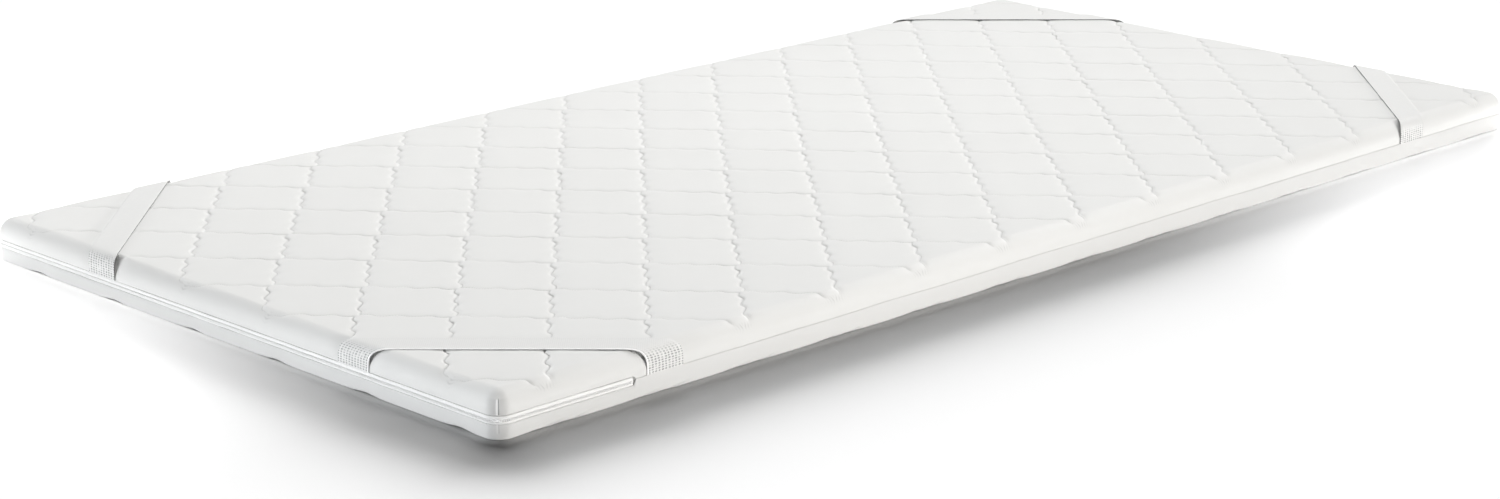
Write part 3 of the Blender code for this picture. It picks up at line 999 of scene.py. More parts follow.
upper_tape_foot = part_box("zip_tape_upper")[0].z
upper_tape_top = ZIP_TOP + ZIP_LOWER - UPPER_TAPE_TUCK
lower_tape_foot = ZIP_FOOT + ZIP_LOWER + LOWER_TAPE_TUCK
lower_tape_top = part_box("zip_tape_lower")[1].z
upper_profile = tape_profile(upper_tape_foot, upper_tape_top)
lower_profile = tape_profile(lower_tape_foot, lower_tape_top)
upper_tape_mesh = swept_strip("zip_tape_upper_woven", upper_profile)
lower_tape_mesh = swept_strip("zip_tape_lower_woven", lower_profile)
core_mesh = swept_strip("zip_coil_core", core_profile())
print("faces of one tape:", len(upper_tape_mesh.polygons))

# %% [markdown]
# The coil could be a real helix, but only the front of each turn shows between the tapes.
# So each turn is one plump, flat bead, set upright and slanting a little, and every second
# one stands a touch higher, as the two interlocked halves do.

# %% Set the coil
COIL_PITCH = 0.0024
COIL_RADIUS = 0.00120
COIL_LIFT = 0.0001
COIL_STAGGER = 0.00012
COIL_OVERLAP = 0.0002
COIL_SLANT = 0.25
COIL_SHAPE = (0.10, 0.5)


def coil_beads():
    """Upright beads along the route, one for each turn of the coil."""
    points, ways, travel = zip_route()
    marks = np.arange(COIL_PITCH, travel[-1] - COIL_PITCH, COIL_PITCH)
    place = np.stack([np.interp(marks, travel, points[:, axis]) for axis in (0, 1)], axis=1)
    out = np.stack([np.interp(marks, travel, ways[:, axis]) for axis in (0, 1)], axis=1)
    out /= np.linalg.norm(out, axis=1)[:, None]
    low, high = (corner.z - ZIP_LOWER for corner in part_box("zip_coil"))
    stagger = np.where(np.arange(len(marks)) % 2 == 0, COIL_STAGGER, -COIL_STAGGER)
    base = place + out * ZIP_PROUD
    ahead = np.stack([-out[:, 1], out[:, 0]], axis=1) * COIL_PITCH * COIL_SLANT
    start = np.column_stack([base - ahead, low - COIL_OVERLAP + stagger])
    end = np.column_stack([base + ahead, high + COIL_OVERLAP + stagger])
    return start, end, np.column_stack([out, np.zeros(len(out))])


turns = coil_beads()
coil_mesh = bead_mesh("zip_coil_turns", *turns, COIL_RADIUS, COIL_LIFT, *COIL_SHAPE)
print("turns of the coil:", len(turns[0]))

# %% [markdown]
# ## Elastic straps
#
# Each strap is a woven elastic band, sewn into the seam at both ends and stretched across a
# corner. It could be wrapped by a simulation, but a taut band takes the shortest way, which
# is easy to write down: up the side, over the shoulder in one smooth bend, and straight
# across. It stands a little off the shoulder, which leaves the dark gap of the real one.

# %% The way a strap takes
STRAP_WIDTH = 0.040
STRAP_REACH = 0.2505
STRAP_RUN = 0.025
STRAP_SQUARENESS = 3.7
STRAP_GAP = 0.0003
STRAP_RISE_STEPS = 3
STRAP_TURN_STEPS = 26
STRAP_FLAT_STEPS = 60
STRAP_ACROSS = 12
OVER_ZIP = ZIP_TOP + 0.0002
OVER_SEAM = 0.0253


def strap_side(foot_height):
    """A strap's way up the side: distance in from the side and height, from its sewn end."""
    lying = CROWN_HEIGHT + STRAP_GAP
    rises = [0.0, STRAP_GAP]
    if foot_height < OVER_ZIP:
        shares = [step / STRAP_RISE_STEPS for step in range(STRAP_RISE_STEPS + 1)]
        rises = [(OVER_ZIP - foot_height) * share for share in shares]
    rows = [(-STRAP_GAP, foot_height + rise) for rise in rises]
    power = 2.0 / STRAP_SQUARENESS
    for step in range(1, STRAP_TURN_STEPS + 1):
        turn = math.pi / 2 * step / STRAP_TURN_STEPS
        run = STRAP_RUN * (1 - max(math.cos(turn), 0.0) ** power)
        rows.append((run - STRAP_GAP, OVER_ZIP + (lying - OVER_ZIP) * math.sin(turn) ** power))
    return rows


def strap_line(leg, end_foot, side_foot):
    """One lengthwise line of a strap: points with X and Y counted in from the two sides."""
    up = [Vector((inside, leg - inside, height)) for inside, height in strap_side(end_foot)]
    down = [Vector((leg - inside, inside, height)) for inside, height in strap_side(side_foot)]
    flat = [up[-1].lerp(down[-1], step / STRAP_FLAT_STEPS) for step in range(1, STRAP_FLAT_STEPS)]
    return up + flat + down[::-1]


def strap_lines(end_foot):
    """All lengthwise lines of a strap, from its outer edge to its inner one."""
    legs = [
        STRAP_REACH + STRAP_WIDTH * (step / STRAP_ACROSS - 0.5) * math.sqrt(2)
        for step in range(STRAP_ACROSS + 1)
    ]
    return [strap_line(leg, end_foot, OVER_SEAM) for leg in legs]


print("points along a strap:", len(strap_line(STRAP_REACH, OVER_ZIP, OVER_SEAM)))

# %% [markdown]
# All lengthwise lines together make a band, which gets its thickness later. Two maps go
# with it: "weave" runs from end to end, and "drop" measures from the nearer seam. On the
# two far straps the open weave ends closer to the seam, and only the near strap gets a
# painted highlight on its outer selvedge, so their maps start a little further in.

# %% Weave the straps
SELVEDGE = 0.0020
PAINTED_HIGHLIGHT_STRAP = "strap_front_left"
FAR_WEAVE_SHIFT = 0.010


def band_mesh(name, places, rows):
    """A smooth band over places that come in lines of so many rows, facing up."""
    bm = bmesh.new()
    low = [bm.verts.new(place) for place in places]
    for step in range(STRAP_ACROSS):
        for row in range(rows - 1):
            a = step * rows + row
            bm.faces.new((low[a], low[a + 1], low[a + 1 + rows], low[a + rows]))
    bm.normal_update()
    if low[rows * (STRAP_ACROSS // 2) + rows // 2].normal.z < 0:
        bmesh.ops.reverse_faces(bm, faces=bm.faces)
    mesh = bpy.data.meshes.new(name)
    bm.to_mesh(mesh)
    bm.free()
    mesh.shade_smooth()
    return mesh


def strap_mesh(name, sign_x, sign_y):
    """The band across the corner towards sign_x and sign_y, and its length along the middle."""
    lines = strap_lines(OVER_ZIP if sign_x < 0 else OVER_SEAM)
    plain_edge = 0.0 if name.startswith(PAINTED_HIGHLIGHT_STRAP) else SELVEDGE
    shift = FAR_WEAVE_SHIFT if sign_x > 0 else 0.0
    places, weave, drop, lengths = [], [], [], []
    for step, line in enumerate(lines):
        across = plain_edge + (STRAP_WIDTH - plain_edge) * step / STRAP_ACROSS
        steps = [(end - start).length for start, end in zip(line, line[1:])]
        along = np.cumsum([0.0] + steps)
        lengths.append(float(along[-1]))
        for point, travel in zip(line, along):
            x, y = HALF_LENGTH - point.x, HALF_WIDTH - point.y
            places.append((sign_x * x, sign_y * y, point.z))
            weave.append((travel - along[-1] / 2, across))
            drop.append((shift + min(travel, along[-1] - travel), across))
    mesh = band_mesh(name, places, len(lines[0]))
    set_cloth_map(mesh, *np.array(weave).T, "weave")
    set_cloth_map(mesh, *np.array(drop).T, "drop")
    return mesh, lengths[STRAP_ACROSS // 2]


strap_meshes = {
    name: strap_mesh(f"{name}_woven", *signs)
    for name, signs in {
        "strap_front_left": (-1, -1),
        "strap_front_right": (1, -1),
        "strap_back_left": (-1, 1),
        "strap_back_right": (1, 1),
    }.items()
}
print("strap lengths:", {name: round(length, 4) for name, (_, length) in strap_meshes.items()})

# %% [markdown]
# ## Small helpers for materials
#
# Every finish here is worked out by nodes. Short helpers keep that readable: one adds a node
# with its settings, one adds a calculation and returns its result, and the rest are the few
# calculations that every cloth needs.

# %% Calculations as nodes


def add_node(tree, kind, **settings):
    """A new node with the given settings."""
    node = tree.nodes.new(kind)
    for name, value in settings.items():
        setattr(node, name, value)
    return node


def feed(tree, socket, value):
    """Links a socket to the value, or sets it where the value is a plain number."""
    if isinstance(value, (int, float)):
        socket.default_value = value
    else:
        tree.links.new(value, socket)


def calculate(tree, operation, *values):
    """The result of a math node."""
    node = add_node(tree, "ShaderNodeMath", operation=operation)
    for socket, value in zip(node.inputs, values):
        feed(tree, socket, value)
    return node.outputs[0]


def product(tree, *values):
    """The product of all values."""
    result = values[0]
    for value in values[1:]:
        result = calculate(tree, "MULTIPLY", result, value)
    return result


def rest(tree, share):
    """What a share leaves of 1."""
    return calculate(tree, "SUBTRACT", 1.0, share)


def soft_step(tree, value, start, end):
    """A soft step from 0 at the start to 1 at the end."""
    node = add_node(tree, "ShaderNodeMapRange", interpolation_type="SMOOTHSTEP")
    for socket, number in zip(node.inputs, (value, start, end, 0.0, 1.0)):
        feed(tree, socket, number)
    return node.outputs[0]


def soft_peak(tree, value, middle, width):
    """A bell-shaped peak round a value."""
    away = calculate(tree, "DIVIDE", calculate(tree, "SUBTRACT", value, middle), width)
    return calculate(tree, "EXPONENT", product(tree, away, away, -1.0))


def parts(tree, vector):
    """The X, Y and Z of a vector."""
    node = add_node(tree, "ShaderNodeSeparateXYZ")
    tree.links.new(vector, node.inputs[0])
    return node.outputs


def cloud(tree, place, scale):
    """Soft noise at a place, from 0 to 1 in its output Fac and in three in its Color."""
    node = add_node(tree, "ShaderNodeTexNoise")
    tree.links.new(place, node.inputs["Vector"])
    feed(tree, node.inputs["Scale"], scale)
    return node.outputs


print("calculations ready")

# %% [markdown]
# The other helpers work with colours, and with groups: one makes an empty group with named
# sockets, and one places a group in a material and gives it that material's own values.

# %% Colours and groups
BLACK = (0.0, 0.0, 0.0)


def blend_colour(tree, share, first, second):
    """A mix of two colours."""
    node = add_node(tree, "ShaderNodeMix", data_type="RGBA", blend_type="MIX")
    feed(tree, node.inputs["Factor"], share)
    for socket, colour in ((node.inputs["A"], first), (node.inputs["B"], second)):
        if isinstance(colour, tuple):
            socket.default_value = (*colour, 1.0)
        else:
            tree.links.new(colour, socket)
    return node.outputs["Result"]


def new_group(name, inputs, outputs):
    """An empty node group, its input sockets and the node that takes its outputs."""
    group = bpy.data.node_groups.new(name, "ShaderNodeTree")
    for socket_name, kind, value in inputs:
        socket = group.interface.new_socket(name=socket_name, in_out="INPUT", socket_type=kind)
        if value is not None:
            socket.default_value = value
    for socket_name, kind in outputs:
        group.interface.new_socket(name=socket_name, in_out="OUTPUT", socket_type=kind)
    entry = add_node(group, "NodeGroupInput")
    exit_node = add_node(group, "NodeGroupOutput")
    return group, entry.outputs, exit_node.inputs


def use_group(material, group, **values):
    """A group's node in a material, with its own values."""
    node = add_node(material.node_tree, "ShaderNodeGroup", node_tree=group)
    for name, value in values.items():
        feed(material.node_tree, node.inputs[name.replace("_", " ")], value)
    return node.outputs


print("groups so far:", len(bpy.data.node_groups))

# %% [markdown]
# ## Effects that several cloths share
#
# White cloth is never one flat white: it is a touch lighter and darker in patches, and it
# has a fine fleck. The effect is a group, so each cloth sets only its own strength.

# %% Group: patchy colour
FLECK_SCALE = 900.0


def patchy_colour_group():
    """Cloth colour with slow patches and a fine fleck."""
    group, given, result = new_group(
        "patchy_colour",
        [
            ("Colour", "NodeSocketColor", (0.8, 0.8, 0.8, 1.0)),
            ("Patch Size", "NodeSocketFloat", 0.12),
            ("Patch Strength", "NodeSocketFloat", 0.03),
            ("Fleck Strength", "NodeSocketFloat", 0.03),
        ],
        [("Colour", "NodeSocketColor")],
    )
    place = add_node(group, "ShaderNodeTexCoord").outputs["Object"]
    patch_scale = calculate(group, "DIVIDE", 1.0, given["Patch Size"])
    shares = []
    for scale, strength in ((patch_scale, "Patch Strength"), (FLECK_SCALE, "Fleck Strength")):
        centred = calculate(group, "SUBTRACT", cloud(group, place, scale)["Fac"], 0.5)
        shares.append(product(group, centred, given[strength]))
    change = calculate(group, "ADD", calculate(group, "ADD", *shares), 1.0)
    tint = add_node(group, "ShaderNodeVectorMath", operation="SCALE")
    group.links.new(given["Colour"], tint.inputs[0])
    group.links.new(change, tint.inputs["Scale"])
    group.links.new(tint.outputs[0], result["Colour"])
    return group


patchy_colour = patchy_colour_group()
print("group:", patchy_colour.name)

# %% [markdown]
# Every woven piece is threads that pass over and under each other. Two waves at right
# angles give both the ribs and the small gaps where the threads leave a hole, and each
# cloth sets its own pitch along and across.

# %% Group: crossing threads


def crossing_threads_group():
    """Height and gaps of ribs that cross at right angles on a map laid out in metres."""
    group, given, result = new_group(
        "crossing_threads",
        [
            ("Map", "NodeSocketVector", None),
            ("Along Pitch", "NodeSocketFloat", 0.001),
            ("Across Pitch", "NodeSocketFloat", 0.001),
            ("Gap Sharpness", "NodeSocketFloat", 2.0),
        ],
        [("Height", "NodeSocketFloat"), ("Gaps", "NodeSocketFloat")],
    )
    waves = []
    for travel, pitch in zip(parts(group, given["Map"]), ("Along Pitch", "Across Pitch")):
        turns = calculate(group, "DIVIDE", travel, given[pitch])
        wave = calculate(group, "COSINE", product(group, turns, 2 * math.pi))
        waves.append(calculate(group, "MULTIPLY_ADD", wave, 0.5, 0.5))
    holes = calculate(group, "POWER", product(group, *waves), given["Gap Sharpness"])
    ribs = product(group, waves[0], 0.5)
    height = rest(group, calculate(group, "ADD", ribs, holes))
    group.links.new(height, result["Height"])
    group.links.new(holes, result["Gaps"])
    return group


crossing_threads = crossing_threads_group()
print("group:", crossing_threads.name)

# %% [markdown]
# At each corner the spare cloth is folded away in a dart, which shows as a thin raised fold
# beside a dark gap. The fold is narrower than the mesh's faces, so the finish paints it: a
# painted highlight on the fold, a painted shadow in the gap and painted shade in the hollow
# round it. The flat cloth's map tells how far a point is from the corner's diagonal.

# %% Group: corner dart
DART_FOLD = (0.0004, 0.0012)
DART_GAP = (-0.0013, 0.0005)
DART_HOLLOW = (0.0, 0.0095)
DART_ONSET = 0.003


def past_flat(tree, place):
    """How far a point of the cloth's map lies past the flat part, along X and along Y."""
    return [
        calculate(tree, "SUBTRACT", calculate(tree, "ABSOLUTE", part), half)
        for part, half in zip(parts(tree, place), (top_panel.half_x, top_panel.half_y))
    ]


def corner_dart_group():
    """Masks of each corner's dart: fold, gap and hollow, for painted highlight and shade."""
    group, given, result = new_group(
        "corner_dart",
        [
            ("Map", "NodeSocketVector", None),
            ("Start", "NodeSocketFloat", 0.02),
            ("End", "NodeSocketFloat", 0.03),
        ],
        [(name, "NodeSocketFloat") for name in ("Fold", "Gap", "Hollow")],
    )
    beyond = past_flat(group, given["Map"])
    most = calculate(group, "MAXIMUM", *beyond)
    least = calculate(group, "MINIMUM", *beyond)
    skew = calculate(group, "SUBTRACT", *beyond)
    skew = calculate(group, "DIVIDE", skew, calculate(group, "MAXIMUM", most, 0.001))
    aside = product(group, skew, math.pi / 4 * CORNER_RADIUS)
    start = given["Start"]
    begun = soft_step(group, most, start, calculate(group, "ADD", start, DART_ONSET))
    at_corner = calculate(group, "GREATER_THAN", least, 0.0)
    ended = calculate(group, "GREATER_THAN", most, given["End"])
    inside = product(group, begun, at_corner, rest(group, ended))
    for name, line in (("Fold", DART_FOLD), ("Gap", DART_GAP), ("Hollow", DART_HOLLOW)):
        group.links.new(product(group, soft_peak(group, aside, *line), inside), result[name])
    return group


corner_dart = corner_dart_group()
print("group:", corner_dart.name)

# %% [markdown]
# The zigzag formula works in nodes too. Folding the flat cloth over at each crossing leaves
# only one line to measure from, because the pattern is its own mirror image. The group says
# how far a point is from the stitching, and where the cloth puckers: beside each crossing
# on the rounded edge it shows a small comb of slanting strokes. The knit paints both as
# shade: a thin painted crease along the needle's line and painted shade in each stroke.

# %% Group: stitch lines
LINE_FADE = (0.006, 0.016)
PUCKER_PITCH = 0.0046
PUCKER_SLANT = -0.35
PUCKER_SHARPNESS = 2.0
PUCKER_EDGE = (0.0115, 0.0065)
PUCKER_ASIDE = 0.0115
PUCKER_AHEAD = 0.0042


def stitch_lines_group():
    """Painted-shade masks: needle line, and puckers where zigzags turn on the rounded edge."""
    group, given, result = new_group(
        "stitch_lines",
        [("Map", "NodeSocketVector", None), ("Line Width", "NodeSocketFloat", 0.0006)],
        [("Line", "NodeSocketFloat"), ("Puckers", "NodeSocketFloat")],
    )
    half_length, half_width = DIAMOND_LENGTH / 2, DIAMOND_WIDTH / 2
    along, across = [
        calculate(group, "SUBTRACT", part, start)
        for part, start in zip(parts(group, given["Map"]), TOP_CROSSING)
    ]
    folded = calculate(group, "PINGPONG", along, half_length)
    swing = calculate(group, "PINGPONG", calculate(group, "DIVIDE", across, half_width), 1.0)
    wave = calculate(group, "SINE", product(group, swing, 2 * math.pi * WAVES_PER_EDGE))
    reach = calculate(group, "MULTIPLY_ADD", swing, half_length - TURN_GAP, TURN_GAP / 2)
    course = calculate(group, "MULTIPLY_ADD", wave, WAVE_HEIGHT, reach)
    needle = soft_peak(group, folded, course, given["Line Width"])
    most = calculate(group, "MAXIMUM", *past_flat(group, given["Map"]))
    on_top = rest(group, soft_step(group, most, *LINE_FADE))
    group.links.new(product(group, needle, on_top), result["Line"])
    strokes = []
    for turned in (False, True):
        aside = calculate(group, "SUBTRACT", half_length, folded) if turned else folded
        ahead = product(group, rest(group, swing) if turned else swing, half_width)
        slanted = calculate(group, "MULTIPLY_ADD", ahead, PUCKER_SLANT, aside)
        comb = calculate(group, "COSINE", product(group, slanted, 2 * math.pi / PUCKER_PITCH))
        comb = calculate(group, "MULTIPLY_ADD", comb, -0.5, 0.5)
        comb = calculate(group, "POWER", comb, PUCKER_SHARPNESS)
        beside = soft_peak(group, aside, 0.0, PUCKER_ASIDE)
        strokes.append(product(group, comb, beside, soft_peak(group, ahead, 0.0, PUCKER_AHEAD)))
    on_edge = soft_peak(group, most, *PUCKER_EDGE)
    puckers = product(group, calculate(group, "ADD", *strokes), on_edge)
    group.links.new(puckers, result["Puckers"])
    return group


stitch_lines = stitch_lines_group()
print("group:", stitch_lines.name)

# %% [markdown]
# ## The quilted cover's knit
#
# The cover is a dense jersey knit with a soft, matt face. Its loops are a millimetre or so
# wide, so they only show close up, as rows of small arrowheads. Under them the cloth has
# slight creases, which a little stretched noise gives. Loose fibres on the surface brighten
# its edges a touch, which is what sheen is for.

# %% Material: cloth of any kind
CREASE_SCALE = 40.0
CREASE_HEIGHT = 0.0006
LOOP_WIDTH = 0.0013
LOOP_LENGTH = 0.0011
LOOP_SLANT = 1.8
LOOP_HEIGHT = 0.00012


def cloth_material(name, colour, roughness, patch_strength, fleck_strength):
    """A matt cloth with patchy colour; returns the material, its shader and that colour."""
    material, shader = plain_material(name, colour, roughness)
    patches = use_group(
        material, patchy_colour, Patch_Strength=patch_strength, Fleck_Strength=fleck_strength
    )
    patches["Colour"].node.inputs["Colour"].default_value = (*colour, 1.0)
    material.node_tree.links.new(patches["Colour"], shader.inputs["Base Color"])
    return material, shader, patches["Colour"]


def cloth_map(material, name):
    """The place on the flat cloth, in metres."""
    return add_node(material.node_tree, "ShaderNodeUVMap", uv_map=name).outputs["UV"]


def add_bump(material, shader, height, distance, strength, before=None):
    """A bump node fed by a height, which can carry on from an earlier bump."""
    tree = material.node_tree
    bump = add_node(tree, "ShaderNodeBump")
    bump.inputs["Distance"].default_value = distance
    bump.inputs["Strength"].default_value = strength
    tree.links.new(height, bump.inputs["Height"])
    if before is not None:
        tree.links.new(before, bump.inputs["Normal"])
    tree.links.new(bump.outputs["Normal"], shader.inputs["Normal"])
    return bump.outputs["Normal"]


def knit_loops(tree, place):
    """The height of jersey loops: columns of small arrowheads."""
    across, along, _ = parts(tree, place)
    slant = calculate(tree, "SINE", product(tree, across, 2 * math.pi / LOOP_WIDTH, 0.5))
    slant = calculate(tree, "ABSOLUTE", slant)
    row = product(tree, along, 2 * math.pi / LOOP_LENGTH)
    course = calculate(tree, "COSINE", calculate(tree, "MULTIPLY_ADD", slant, LOOP_SLANT, row))
    return calculate(tree, "MULTIPLY_ADD", slant, 0.6, product(tree, course, 0.4))


def knit_relief(material, shader, place, gap):
    """The knit's bumps: slight creases, the dart's gap and the loops."""
    tree = material.node_tree
    creases = cloud(tree, place, CREASE_SCALE)["Fac"]
    soft = add_bump(material, shader, creases, CREASE_HEIGHT, 0.25)
    cut = add_bump(material, shader, product(tree, gap, -1.0), CREASE_HEIGHT, 1.0, soft)
    add_bump(material, shader, knit_loops(tree, place), LOOP_HEIGHT, 0.4, cut)


print("one loop of the knit is", LOOP_WIDTH, "by", LOOP_LENGTH, "m")

# %% [markdown]
# On top of its plain colour the knit takes painted shade: in the hollow round each dart and
# in its gap, along the needle's line and in the puckers, and a painted highlight on each
# dart's fold. Real shade makes most of that, but the finest furrows are narrower than the
# mesh's faces. The under panel's sewing shows only as waves of its bottom edge, so its knit
# leaves the sewn lines out.

# %% Materials: both knits
KNIT_COLOUR = (0.75, 0.75, 0.741)
UNDER_KNIT_COLOUR = (0.72, 0.72, 0.714)
# Colours of the painted highlight on each dart's fold, the painted shadow in its gap and the
# painted shade along the sewing.
DART_FOLD_PAINTED_HIGHLIGHT = (1.0, 1.0, 1.0)
DART_GAP_PAINTED_SHADOW = (0.22, 0.22, 0.22)
NEEDLE_CREASE_PAINTED_SHADE = (0.10, 0.10, 0.10)
PUCKER_PAINTED_SHADE = (0.08, 0.08, 0.08)
HOLLOW_SHADE = 0.15
NEEDLE_SHADE = 0.22
PUCKER_SHADE = 0.55
NEEDLE_WIDTH = 0.0007


def sewn_shades(material, place):
    """The shares and colours of the painted shade along the needle's line and in the puckers."""
    tree = material.node_tree
    lines = use_group(material, stitch_lines, Map=place, Line_Width=NEEDLE_WIDTH)
    return [
        (product(tree, lines["Line"], NEEDLE_SHADE), NEEDLE_CREASE_PAINTED_SHADE),
        (product(tree, lines["Puckers"], PUCKER_SHADE), PUCKER_PAINTED_SHADE),
    ]


def knit_material(name, colour, dart_start, dart_end, dart_strength, sewn):
    """Cover knit: loops, slight creases, painted shade and highlight at darts and sewn lines."""
    material, shader, shaded = cloth_material(name, colour, 0.85, 0.02, 0.02)
    tree = material.node_tree
    place = cloth_map(material, "cloth")
    dart = use_group(material, corner_dart, Map=place, Start=dart_start, End=dart_end)
    # The dart's fold takes a painted highlight and its gap a painted shadow; on top, its hollow
    # takes painted shade in black.
    fold = product(tree, dart["Fold"], dart_strength)
    gap = product(tree, dart["Gap"], dart_strength)
    shades = [(gap, DART_GAP_PAINTED_SHADOW)]
    if sewn:
        shades.insert(0, (product(tree, dart["Hollow"], HOLLOW_SHADE), BLACK))
        # Painted shade along the needle's line and in the puckers.
        shades += sewn_shades(material, place)
    for share, shade in shades + [(fold, DART_FOLD_PAINTED_HIGHLIGHT)]:
        shaded = blend_colour(tree, share, shaded, shade)
    tree.links.new(shaded, shader.inputs["Base Color"])
    knit_relief(material, shader, place, gap)
    shader.inputs["Sheen Weight"].default_value = 0.08
    shader.inputs["Sheen Roughness"].default_value = 0.5
    shader.inputs["Specular IOR Level"].default_value = 0.2
    return material


quilted_knit = knit_material("quilted_knit", KNIT_COLOUR, 0.0165, 0.0345, 1.0, True)
under_knit = knit_material("under_knit", UNDER_KNIT_COLOUR, 0.026, 0.045, 0.35, False)
print("materials:", quilted_knit.name, under_knit.name)

# %% [markdown]
# ## Elastic
#
# The strap is a coarse elastic weave. Where it hangs down the side it shows as columns of
# small holes in painted shade between knobs with a painted highlight, a little uneven, and
# stretched across the top its ribs close up and leave only faint streaks of painted shade.
# The near strap's outer selvedge takes a painted highlight as a bright line, and the inner
# edge of each strap a painted shadow. One map measures how far the cloth is from its seam,
# and another follows the weave from end to end.

# %% Material: elastic
ELASTIC_COLOUR = (0.74, 0.74, 0.733)
HOLE_PAINTED_SHADE_COLOUR = (0.13, 0.13, 0.133)
KNOB_PAINTED_HIGHLIGHT_COLOUR = (0.93, 0.93, 0.925)
STREAK_PAINTED_SHADE_COLOUR = (0.3, 0.3, 0.3)
SELVEDGE_HIGHLIGHT_AND_SHADOW_COLOURS = ((1.0, 1.0, 1.0), (0.16, 0.16, 0.16))
HOLE_RISE = 0.0029
HOLE_COLUMNS = 0.0037
HOLE_SHARPNESS = 1.05
HOLE_SWAY = (0.0014, 0.0026, 0.0)
HOLE_SHADE = 0.85
KNOB_HIGHLIGHT_SHARE = 0.35
HANGING_END = (0.020, 0.034)
STREAK_PITCH = 0.0024
STREAK_SHADE = 0.08
UNEVEN_SCALE = 140.0
SWAY_SCALE = 260.0


def swaying_holes(material, place, drop_map):
    """Gaps of the woven holes, whose rows and columns sway a little."""
    tree = material.node_tree
    sway = add_node(tree, "ShaderNodeVectorMath", operation="MULTIPLY_ADD")
    tree.links.new(cloud(tree, place, SWAY_SCALE)["Color"], sway.inputs[0])
    sway.inputs[1].default_value = HOLE_SWAY
    tree.links.new(drop_map, sway.inputs[2])
    holes = use_group(
        material, crossing_threads, Map=sway.outputs[0], Along_Pitch=HOLE_RISE,
        Across_Pitch=HOLE_COLUMNS, Gap_Sharpness=HOLE_SHARPNESS,
    )
    return holes["Gaps"]


def selvedges(tree, across):
    """Masks of the outer edge's painted highlight and of the inner edge's painted shadow."""
    outer = rest(tree, soft_step(tree, across, SELVEDGE - 0.0006, SELVEDGE))
    inner = calculate(tree, "GREATER_THAN", across, STRAP_WIDTH - 0.00005)
    return outer, inner


def elastic_material():
    """Woven elastic: holes, streaks, knobs and edges in painted shade and painted highlight."""
    material, shader, shaded = cloth_material("woven_elastic", ELASTIC_COLOUR, 0.80, 0.02, 0.04)
    tree = material.node_tree
    drop_map = cloth_map(material, "drop")
    place = add_node(tree, "ShaderNodeTexCoord").outputs["Object"]
    from_seam, across, _ = parts(tree, drop_map)
    hanging = rest(tree, soft_step(tree, from_seam, *HANGING_END))
    uneven = soft_step(tree, cloud(tree, place, UNEVEN_SCALE)["Fac"], 0.24, 0.52)
    gaps = swaying_holes(material, place, drop_map)
    hole_shade = product(tree, gaps, hanging, uneven, HOLE_SHADE)
    knob_highlight = product(tree, calculate(tree, "SUBTRACT", KNOB_HIGHLIGHT_SHARE, gaps), hanging)
    streaks = use_group(
        material, crossing_threads, Map=cloth_map(material, "weave"), Along_Pitch=STREAK_PITCH,
        Across_Pitch=1.0, Gap_Sharpness=1.5,
    )
    streak_shade = product(tree, streaks["Gaps"], STREAK_SHADE, uneven)
    # Painted shade in the holes and streaks, and a painted highlight on the knobs.
    shades = [
        (hole_shade, HOLE_PAINTED_SHADE_COLOUR),
        (streak_shade, STREAK_PAINTED_SHADE_COLOUR),
        (calculate(tree, "MAXIMUM", knob_highlight, 0.0), KNOB_PAINTED_HIGHLIGHT_COLOUR),
        # painted highlight on the outer selvedge, painted shadow on the inner edge
        *zip(selvedges(tree, across), SELVEDGE_HIGHLIGHT_AND_SHADOW_COLOURS),
    ]
    for share, shade in shades:
        shaded = blend_colour(tree, share, shaded, shade)
    tree.links.new(shaded, shader.inputs["Base Color"])
    deep = calculate(tree, "ADD", hole_shade, streak_shade)
    add_bump(material, shader, rest(tree, deep), 0.0005, 0.8)
    shader.inputs["Specular IOR Level"].default_value = 0.3
    return material


woven_elastic = elastic_material()
print("material:", woven_elastic.name)

# %% [markdown]
# ## Tape, nylon and thread
#
# The zip's tape is a fine tight weave, whiter than the cover, from the same group of
# crossing threads. The coil is smooth nylon, so it has a soft shine, and the thread is
# twisted polyester. Both are too thin to show more than their colour.

# %% Materials: tape, coil and thread
TAPE_COLOUR = (0.90, 0.90, 0.895)
COIL_COLOUR = (0.97, 0.97, 0.966)
THREAD_COLOUR = (0.82, 0.82, 0.812)


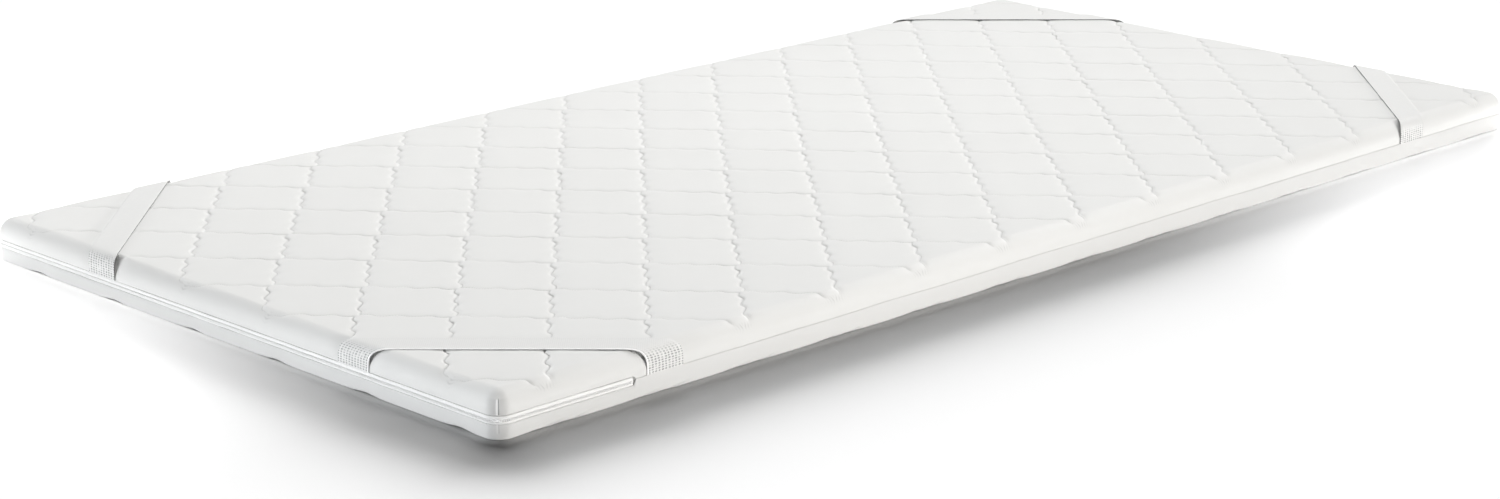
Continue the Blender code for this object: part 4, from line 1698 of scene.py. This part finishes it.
def tape_material():
    """The zip's tape: a fine tight weave."""
    material, shader, _ = cloth_material("zip_tape", TAPE_COLOUR, 0.75, 0.02, 0.04)
    weave = use_group(
        material, crossing_threads, Map=cloth_map(material, "weave"), Along_Pitch=0.0008,
        Across_Pitch=0.0006, Gap_Sharpness=1.0,
    )
    add_bump(material, shader, weave["Height"], 0.0001, 0.5)
    shader.inputs["Specular IOR Level"].default_value = 0.3
    return material


zip_tape = tape_material()
zip_coil = cloth_material("zip_coil", COIL_COLOUR, 0.40, 0.02, 0.02)[0]
thread = cloth_material("sewing_thread", THREAD_COLOUR, 0.55, 0.02, 0.10)[0]
print("materials:", [material.name for material in (zip_tape, zip_coil, thread)])

# %% [markdown]
# ## Put the pieces on the topper
#
# Each finished piece rides on the one body of the frame, takes its material, and stands for
# the solids that it replaces.

# %% Add the pieces
STRAP_THICKNESS = 0.0012
STRAP_ROUNDING = 0.0005

def add_piece(mesh, material, slot, *nodes):
    """An object that rides on the topper, takes a finish and stands for its solids."""
    mesh.materials.append(material)
    piece = bpy.data.objects.new(mesh.name, mesh)
    topper_pieces.objects.link(piece)
    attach(piece, "root")
    if nodes:
        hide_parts(*nodes)
    faces = sum(len(face.vertices) - 2 for face in mesh.polygons)
    print(f"{mesh.name}: {faces} triangles")
    return piece


def thicken(strap):
    """Gives a strap its thickness, with rounded edges."""
    thickness = strap.modifiers.new("thickness", "SOLIDIFY")
    thickness.thickness = STRAP_THICKNESS
    thickness.offset = 1.0
    thickness.use_even_offset = True
    rounding = strap.modifiers.new("rounding", "BEVEL")
    rounding.width = STRAP_ROUNDING
    rounding.segments = 2
    rounding.limit_method = "ANGLE"
    rounding.angle_limit = math.radians(60.0)


upper = add_piece(top_mesh, quilted_knit, "quilted_knit", "upper_cover")
lower = add_piece(under_mesh, under_knit, "under_knit", "lower_cover")
add_piece(stitch_mesh, thread, "quilted_knit")
add_piece(upper_tape_mesh, zip_tape, "zip_tape", "zip_tape_upper")
add_piece(lower_tape_mesh, zip_tape, "zip_tape", "zip_tape_lower")
add_piece(coil_mesh, zip_coil, "zip_coil", "zip_coil")
add_piece(core_mesh, zip_coil, "zip_coil")

for name, (mesh, length) in strap_meshes.items():
    strap = add_piece(mesh, woven_elastic, "woven_elastic", name)
    thicken(strap)
